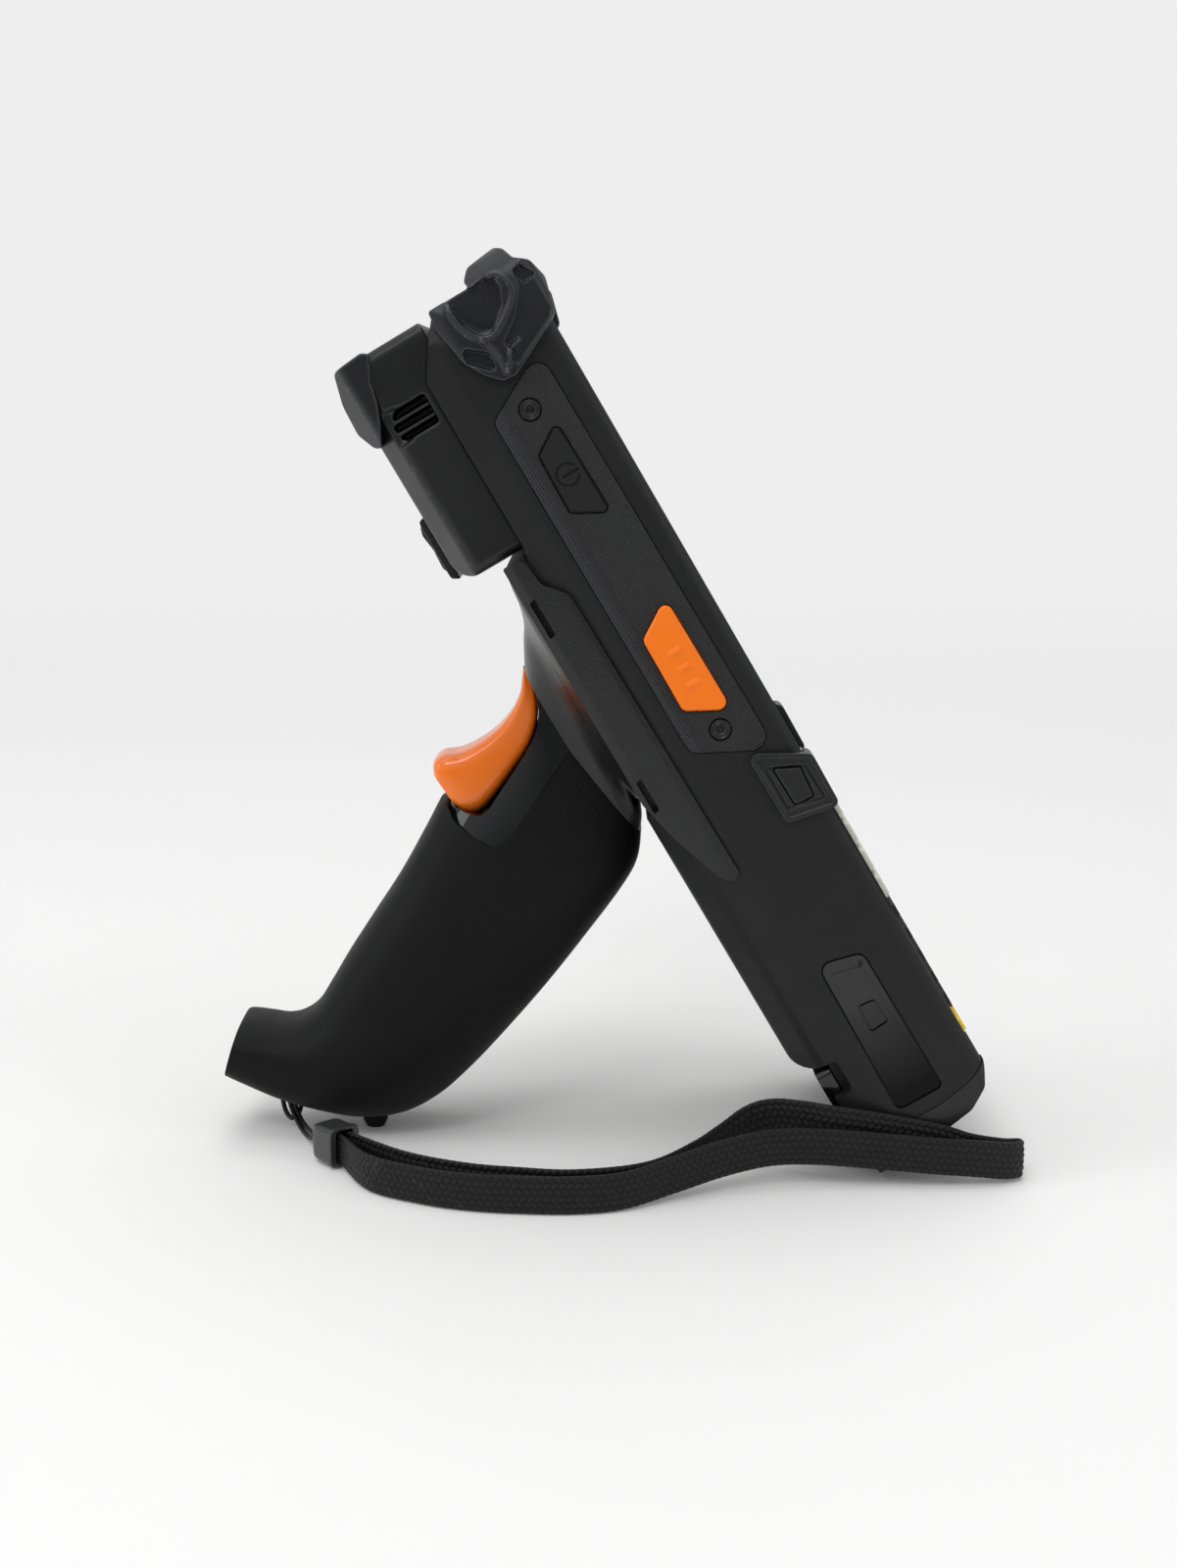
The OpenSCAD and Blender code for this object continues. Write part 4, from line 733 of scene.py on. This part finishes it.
def section(name, outline, v0, v1):
    """Solid from an outline of (depth, half width), mirrored, between two heights."""
    ring = [(d, y) for d, y in outline] + [(d, -y) for d, y in reversed(outline)]
    return skin(name, [[place(d, v, y) for d, y in ring] for v in (v0, v1)])


def pocket_tool(grow):
    """Room of the trigger, narrower beside its upper part."""
    wide = TRIGGER_W / 2 + 0.7 + grow
    tool = prism("pocket", rounded(TRIGGER_POCKET), -wide, wide)
    walls = [(30, wide - 3.6), (48, wide - 3), (56, wide - 1), (62, wide), (99, wide)]
    return cut(tool, section("pocket_walls", walls, 60, 200), "INTERSECT")


def loft(name, rows, inset, exponent, steps, around, y_sign=0):
    return skin(name, [oval(r, inset, exponent, around, y_sign) for r in spline(rows, steps)])


def laid_on(obj, line, side, sunk=0.0):
    """Points of a line of (depth, height) where it meets one side of a piece, sunk by so many mm."""
    surface = BVHTree.FromObject(obj, bpy.context.evaluated_depsgraph_get())
    inward = Vector((0, -side, 0))
    hits = [surface.ray_cast(place(d, v, side * FAR), inward)[0] for d, v in spline(line, 6)]
    return [hit + inward * sunk * MM for hit in hits if hit]


def rod(name, points, radius, side, around, upright=False):
    """Round bar through points on a side; upright keeps its section square to that side."""
    out = Vector((0, side, 0))
    rings = []
    for i, p in enumerate(points):
        tangent = unit(points[min(i + 1, len(points) - 1)] - points[max(i - 1, 0)])
        across = unit(tangent.cross(out))
        up = out if upright else tangent.cross(across)
        turns = [2 * math.pi * k / around for k in range(around)]
        rings.append([p + (across * math.cos(a) + up * math.sin(a)) * radius * MM for a in turns])
    return skin(name, rings)


def score(obj, line, radius, side):
    """Fine groove along a line of (depth, height) on one side of a piece."""
    return cut(obj, rod("score", laid_on(obj, line, side), radius, side, 8, upright=True))


def grip_shell(side, name):
    """Half of the grip as one fine shell, cut at the trigger housing and the strap recess."""
    obj = loft(name, GRIP_ROWS, 0.0, GRIP_POWER, 6, 57, side)
    cut(obj, prism("edge", rounded(GRIP_EDGE), -FAR, FAR), "INTERSECT")
    cut(obj, pocket_tool(0.2))
    cut(obj, box_at("recess", (148.4, 79.4), (8, 7, 9), 45))
    score(obj, PART_LINE, 0.13, side)
    return obj


def box_at(name, centre, size, turn):
    """Box in the terminal's frame, turned about y."""
    half = [s / 2 for s in size]
    turned = Matrix.Rotation(math.radians(turn), 4, "Y")
    verts = []
    for x in (-1, 1):
        for y in (-1, 1):
            for z in (-1, 1):
                p = turned @ Vector((x * half[0], y * half[1], z * half[2]))
                verts.append(DEVICE @ (p + Vector((-centre[0], 0, centre[1]))))
    faces = [(0, 1, 3, 2), (4, 6, 7, 5), (0, 4, 5, 1), (2, 3, 7, 6), (0, 2, 6, 4), (1, 5, 7, 3)]
    return new_object(name, verts, faces, smooth=False)


for side, node_name in ((-1, "grip_shell_left"), (1, "grip_shell_right")):
    shell = grip_shell(side, node_name + "_skin")
    crisp(shell, 0.35, 40, 3)
    settle(shell, grip_black, node_name)

# ---------------------------------------------------------------- trigger and its housing
TRIGGER_ROWS = [
    (46.9, 139.5, 45.8, 138.1, 2.6), (48.4, 137.4, 46.9, 134.4, 3.6), (50.6, 134.7, 48.3, 130.6, 4.6),
    (54.2, 132.2, 50.4, 127, 5.6), (59, 130.4, 54.6, 123.2, 6.7), (64.5, 129.7, 60.6, 120.2, 7.6),
    (69.6, 130.1, 67, 117.4, 8.2), (73.6, 131.6, 72.2, 115.6, 8.5), (76.2, 131.2, 75.4, 116.6, 8.4),
    (77.5, 129.2, 76.8, 119, 7.6),
]
TRIGGER_ARM = [(39.6, 133, 1.5), (39.6, 138.4, 1.5), (47.4, 137.6), (49.4, 133), (49.2, 129)]
PIVOT = (42.6, 135.4)
HOUSING_ROWS = [
    (42, 147, 35, 101.5, 14), (49, 141.4, 37, 99.2, 14), (56, 133.5, 39.2, 96.2, 14.2),
    (66, 128, 42, 92.5, 14.8), (78.5, 122.2, 46.5, 86.6, 16), (88, 117.6, 53, 82.6, 16.8),
]
HOUSING_OUTLINE = [
    (46.3, 133.6), (48, 130, 3), (50.2, 126.8, 3), (53.4, 124.2, 4), (57, 122.2, 4), (69.8, 116, 1),
    (72.6, 115.7, 1.5), (75.2, 118, 1.5), (77.6, 121.6, 0.4), (78.3, 117.6, 2), (76.6, 113.4, 2),
    (73.4, 108.2, 2.4), (69.6, 107.4, 2), (46.25, 118.6),
]


def pin_tool(name, diameter, half_length):
    """Cylinder on the trigger's axis."""
    rings = []
    for y in (-half_length, half_length):
        rings.append([place(PIVOT[0] + diameter / 2 * math.cos(t), PIVOT[1] + diameter / 2 * math.sin(t), y)
                      for t in (2 * math.pi * k / 40 for k in range(40))])
    return skin(name, rings)


trigger = loft("trigger_lever", TRIGGER_ROWS, 0.0, 0.42, 7, 72)
crisp(trigger, 0.4, 42, 2)
bake(trigger)
cut(trigger, prism("arm", rounded(TRIGGER_ARM), -2.3, 2.3), "UNION")
cut(trigger, pin_tool("boss", 7, 2.3), "UNION")
cut(trigger, pin_tool("bore", 3.1, 20))
crisp(trigger, 0.12, 40, 2)
settle(trigger, trigger_orange, "trigger", "trigger")

housing = loft("trigger_housing_shell", HOUSING_ROWS, 0.9, GRIP_POWER, 7, 96)
cut(housing, prism("visible", rounded(HOUSING_OUTLINE), -FAR, FAR), "INTERSECT")
cut(housing, pocket_tool(0))
crisp(housing, 0.35, 35, 3)
settle(housing, gloss_black, "trigger_housing")

# ---------------------------------------------------------------- saddle
HALF_W = 38.5
SEAT_LOW = 99.0
SEAT_TOP = 163.4
SIDE_D = 31.2
SADDLE_D = 35.6
RAIL_T = 2.3
NECK_ROWS = [
    (31, 159.4, 31, 102, 33.5), (34.4, 162, 34.4, 100, 33), (36.4, 161.6, 36.4, 99.6, 29.5),
    (38.2, 161.3, 38.6, 99.3, 25.6), (39, 155.8, 40, 96, 22.6), (40.8, 149.4, 41.4, 93.8, 20),
    (43.4, 145, 43.4, 91, 17.8), (46.4, 139.6, 46.6, 85.6, 16.4), (50, 133, 50, 81, 15.6),
]
RAIL_OUTLINE = [
    (25.6, 79.4, 1.2), (26.7, 151.6, 3), (30.9, 156.4, 3), (31.8, SEAT_TOP, 1.5),
    (SADDLE_D + 1, SEAT_TOP, 0.5), (SADDLE_D + 1, 103, 4), (34.1, 92.7, 12), (30, 80.6, 3), (27.6, 78.2, 1.5),
]
LATCH_SLOTS = [(145.6, 154.6), (100.6, 108.8)]


def span(side, inner, outer):
    """The two y planes between two distances from the middle, on one side."""
    return sorted((side * inner, side * outer))


def saddle():
    """Plate, side rails and flared neck in one moulding, open for the trigger's arm."""
    body = loft("saddle_moulding", NECK_ROWS, 0.0, 0.62, 7, 96)
    cut(body, prism("behind", [(0, 0), (SIDE_D, 0), (SIDE_D, 300), (0, 300)], -FAR, FAR))
    grip_side = [(70, 300), (46.6, 141), (46.1, 118.5), (42.3, 92.8), (41.5, 60), (70, 60)]
    cut(body, prism("grip_side", grip_side, -FAR, FAR))
    seat = [(SIDE_D, SEAT_LOW), (SIDE_D, SEAT_TOP), (SADDLE_D, SEAT_TOP), (SADDLE_D, SEAT_LOW)]
    plate = prism("plate", seat, -FAR, FAR)
    cut(plate, section("plate_edge", [(20, HALF_W - 0.5), (SADDLE_D + 1, HALF_W - 2.2)], 0, 300), "INTERSECT")
    cut(body, plate, "UNION")
    for side in LEFT_AND_RIGHT:
        rail = prism("rail", rounded(RAIL_OUTLINE, 10), *span(side, HALF_W - RAIL_T, HALF_W + 1))
        edge = [(20, HALF_W + 0.3), (25.2, HALF_W + 0.3), (27.6, HALF_W + 0.2), (29.6, HALF_W - 0.1),
                (SADDLE_D - 1.4, HALF_W - 0.9), (SADDLE_D - 0.4, HALF_W - 1.3), (SADDLE_D + 1, HALF_W - 2.1)]
        cut(rail, section("rail_edge", edge, 0, 300), "INTERSECT")
        cut(body, rail, "UNION")
        for low, high in LATCH_SLOTS:
            inner = SADDLE_D - 1.8
            outer = SADDLE_D - 0.3
            slot = [(inner, low, 0.3), (inner, high, 0.3), (outer, high - 0.6, 0.3), (outer, low - 0.6, 0.3)]
            cut(body, prism("latch_slot", rounded(slot, 4), *span(side, HALF_W - 5, HALF_W + 5)))
    d, v = PIVOT
    sweep_room = [(d - 5, v - 5), (d - 5, v + 5, 3), (d + 2.5, v + 6.5, 2), (60, v + 6), (60, v - 12)]
    cut(body, prism("sweep_room", rounded(sweep_room), -4.4, 4.4))
    cut(body, pin_tool("pin_bore", 3.02, 9))
    return body


saddle_piece = saddle()
crisp(saddle_piece, 0.3, 38, 3)
settle(saddle_piece, saddle_black, "grip_saddle")

# ---------------------------------------------------------------- softened mouldings
# Node: material, slot, voxel in mm and rounds of smoothing
SOFT = {
    "corner_bumper_left": (bumper_grey, "bumper_grey", 0.22, 3),
    "corner_bumper_right": (bumper_grey, "bumper_grey", 0.22, 3),
    "side_clip_left": (clip_black, "housing_black", 0.16, 3),
    "side_clip_right": (clip_black, "housing_black", 0.16, 3),
    "head_housing": (head_black, "housing_black", 0.3, 14),
    "head_bumper": (bumper_grey, "grip_black", 0.25, 12),
    "camera_bezel": (saddle_black, "saddle_black", 0.25, 5),
    "scan_button_left": (button_orange, "signal_orange", 0.14, 2),
    "scan_button_right": (button_orange, "signal_orange", 0.14, 2),
}
TICK_MIDDLE = 125.3
TICK_PITCH = 4.05
SCAN_TICKS = [[(d, TICK_MIDDLE + k * TICK_PITCH) for d in (12.3, 13.5, 14.7)] for k in (-1, 0, 1)]
ARCH = [
    (17.9, 217.7), (18.4, 214.1), (17.5, 210.5), (15.5, 207.5), (12.5, 206.7), (8.5, 208.8),
    (5.1, 211.7), (4.4, 214.9), (6.1, 217.4), (9.9, 217.7),
]
LEFT_V = [(15.6, 207.3), (14.4, 204.7), (14.1, 201.8), (14.3, 198.4)]
RIGHT_V = [(8.2, 203.2), (11, 202.4), (12.7, 200), (14.3, 198.4)]
# Ribs laid on a piece, by the start of its name: (line, radius, how deep the rib's axis is sunk)
RIBS = {
    "corner_bumper": [(ARCH, 0.75, 0), (LEFT_V, 0.6, 0), (RIGHT_V, 0.6, 0)],
    "scan_button": [(line, 0.7, 0.5) for line in SCAN_TICKS],
}


def join(obj, other):
    """Adds the mesh of other to obj as it is; a voxel remesh makes one skin of both."""
    bm = bmesh.new()
    bm.from_mesh(obj.data)
    bm.from_mesh(other.data)
    bm.to_mesh(obj.data)
    bm.free()
    bpy.data.objects.remove(other)


for name, (material, slot_name, voxel, smoothing) in SOFT.items():
    piece = copy_of(name, name + "_soft")
    kind, _, hand = name.rpartition("_")
    side = -1 if hand == "left" else 1
    for line, radius, sunk in RIBS.get(kind, []):
        join(piece, rod("bead", laid_on(piece, line, side, sunk), radius, side, 10))
    soften(piece, voxel * (1), smoothing)
    bake(piece)
    settle(piece, material, name, name if kind == "scan_button" else "terminal")

# ---------------------------------------------------------------- carried-over CAD nodes
# Node: material and width of its fine bevel in mm
LOOKS = {
    "body_housing": (housing_black, 0.3), "front_cover": (cover_black, 0.2),
    "front_seal": (key_black, 0.1), "end_cap": (end_cap_black, 0.3),
    "side_panel_left": (panel_grey, 0.2), "side_panel_right": (panel_grey, 0.2),
    "power_button": (power_grey, 0.3), "volume_rocker": (button_grey, 0.3),
    "dock_plate_left": (dock_black, 0.2), "dock_plate_right": (dock_black, 0.2),
    "display_glass": (screen_glass, 0.2), "lcd_module": (inner_grey, 0.1),
    "keypad_mat": (inner_grey, 0.1), "main_board": (board_green, 0.1), "speaker": (inner_grey, 0.1),
    "nav_pad": (key_black, 0.25), "scan_key": (button_orange, 0.3), "fn_key": (key_yellow, 0.25),
    "letter_keys": (key_black, 0.2), "battery_pack": (housing_black, 0.4),
    "battery_latch": (gloss_black, 0.25), "scan_engine": (inner_grey, 0.1),
    "scan_window": (window_glass, 0.1), "camera_module": (gloss_black, 0.1),
    "trigger_pin": (steel, 0.1), "trigger_spring": (steel, 0.0), "trigger_switch": (button_grey, 0.1),
    "grip_foot": (grip_black, 0.3), "strap_eyelet": (steel, 0.1),
}
for number in (*"1234567890", "star", "hash"):
    LOOKS["key_" + number] = (key_white, 0.25)
for name, (material, width) in LOOKS.items():
    crisp(paint_piece(nodes[name], material), width)

# ---------------------------------------------------------------- screws of the side panels
PANEL_SCREWS = [(14, 189.6), (13.3, 109.5)]
HEAD_TOP = 39.0
PLUG_FOOT = HEAD_TOP - 0.75
# (radius, height) pairs: the plug fills the hexagon socket, the face is cut with a ring groove and a
# socket that has a pin in its middle
PLUG_PROFILE = [(0.02, -0.02), (1.3, -0.02), (1.3, 0.74), (0.02, 0.74)]
FACE_PROFILE = [
    (0.02, 1.0), (2.6, 1.0), (2.6, -0.16), (2.2, -0.16), (2.06, -0.04), (1.78, -0.03), (1.68, -0.26),
    (1.5, -0.26), (1.4, -0.03), (1.14, -0.03), (1.04, -0.56), (0.44, -0.58), (0.38, -0.22), (0.28, -0.16),
    (0.02, -0.15),
]


def turned_disc(name, centre, y0, side, profile):
    """Round piece on a side of the terminal from (radius, height) pairs, its axis along y."""
    rings = []
    for radius, height in profile:
        ring = []
        for k in range(40):
            turn = 2 * math.pi * k / 40
            ring.append(place(centre[0] + radius * math.cos(turn), centre[1] + radius * math.sin(turn),
                              side * (y0 + height)))
        rings.append(ring)
    return skin(name, rings)


screws = copy_of("case_screws", "case_screws_turned")
for side in LEFT_AND_RIGHT:
    for centre in PANEL_SCREWS:
        cut(screws, turned_disc("plug", centre, PLUG_FOOT, side, PLUG_PROFILE), "UNION")
        cut(screws, turned_disc("face", centre, HEAD_TOP, side, FACE_PROFILE))
crisp(screws, 0.0)
settle(screws, screw_black, "case_screws")

# ---------------------------------------------------------------- floor, light
FLOOR_FRONT = -0.5
FLOOR_BACK = 1.1
CURVE_RADIUS = 0.7
WALL_TOP = 4.0
HALF_FLOOR = 4.0


def stage_floor():
    """Pale sweep: a floor that curves up into a back wall."""
    profile = [(FLOOR_FRONT, 0.0), (FLOOR_BACK, 0.0)]
    for k in range(1, 13):
        turn = math.radians(90 * k / 12)
        profile.append((FLOOR_BACK + CURVE_RADIUS * math.sin(turn), CURVE_RADIUS * (1 - math.cos(turn))))
    profile.append((FLOOR_BACK + CURVE_RADIUS, WALL_TOP))
    verts = [(x, y, z) for y, z in profile for x in (-HALF_FLOOR, HALF_FLOOR)]
    faces = [(2 * i, 2 * i + 1, 2 * i + 3, 2 * i + 2) for i in range(len(profile) - 1)]
    return new_object("floor", verts, faces)


def floor_paint():
    """Lit pale grey near the object, an even backdrop tone further off where it is only looked at."""
    paint = Paint("floor", (0.88, 0.875, 0.865, 1), 0.65)
    paint.add_bump(paint.noise(14, 3.0), 0.004, 0.25)
    split = paint.node("ShaderNodeSeparateXYZ")
    paint.link(paint.coords(), split.inputs["Vector"])
    distance = paint.ramp(split.outputs["Y"], 0.1, 1.2)
    rays = paint.node("ShaderNodeLightPath").outputs
    seen = paint.math("MAXIMUM", rays["Is Camera Ray"], rays["Is Glossy Ray"])
    seen = paint.math("MAXIMUM", seen, rays["Is Transmission Ray"])
    backdrop = paint.node("ShaderNodeEmission")
    backdrop.inputs["Color"].default_value = (0.85, 0.855, 0.85, 1)
    blend = paint.node("ShaderNodeMixShader")
    paint.link(paint.math("MULTIPLY", distance, seen), blend.inputs[0])
    paint.link(paint.shader.outputs[0], blend.inputs[1])
    paint.link(backdrop.outputs[0], blend.inputs[2])
    paint.link(blend.outputs[0], paint.tree.nodes["Material Output"].inputs["Surface"])
    return paint.material


paint_piece(stage_floor(), floor_paint())

LAMPS_AIM = (0.05, 0, 0.1)
# Name: place, size and watts
LAMPS = {
    "key": ((-0.1, 0.1, 1.6), (1.6, 1.2), 9),
    "left": ((-1.2, -0.4, 0.7), (0.7, 0.9), 4.2),
    "right": ((1.3, -0.6, 0.6), (0.6, 0.9), 2.6),
    "front": ((-0.35, -1.0, 1.15), (0.5, 0.4), 4.4),
}
for name, (location, size, watts) in LAMPS.items():
    lamp = bpy.data.lights.new(name, "AREA")
    lamp.shape = "RECTANGLE"
    lamp.size, lamp.size_y = size
    lamp.energy = watts
    obj = bpy.data.objects.new(name, lamp)
    bpy.context.scene.collection.objects.link(obj)
    obj.location = location
    obj.rotation_euler = (Vector(LAMPS_AIM) - Vector(location)).to_track_quat("-Z", "Y").to_euler()

ROOM_LOW = 0.2
ROOM_HIGH = 0.64
RISE = 0.3  # height on the unit sphere at which the room has its full light
world = bpy.data.worlds.new("studio")
bpy.context.scene.world = world
world.use_nodes = True
background = world.node_tree.nodes["Background"]
background.inputs["Color"].default_value = (0.97, 0.985, 1.0, 1)
room = world.node_tree.nodes.new("ShaderNodeTexCoord")
room_split = world.node_tree.nodes.new("ShaderNodeSeparateXYZ")
room_height = world.node_tree.nodes.new("ShaderNodeMapRange")
for socket, value in {"From Min": 0.0, "From Max": RISE, "To Min": ROOM_LOW, "To Max": ROOM_HIGH}.items():
    room_height.inputs[socket].default_value = value
world.node_tree.links.new(room.outputs["Generated"], room_split.inputs["Vector"])
world.node_tree.links.new(room_split.outputs["Z"], room_height.inputs["Value"])
world.node_tree.links.new(room_height.outputs["Result"], background.inputs["Strength"])

bpy.context.scene.view_settings.view_transform = "Standard"
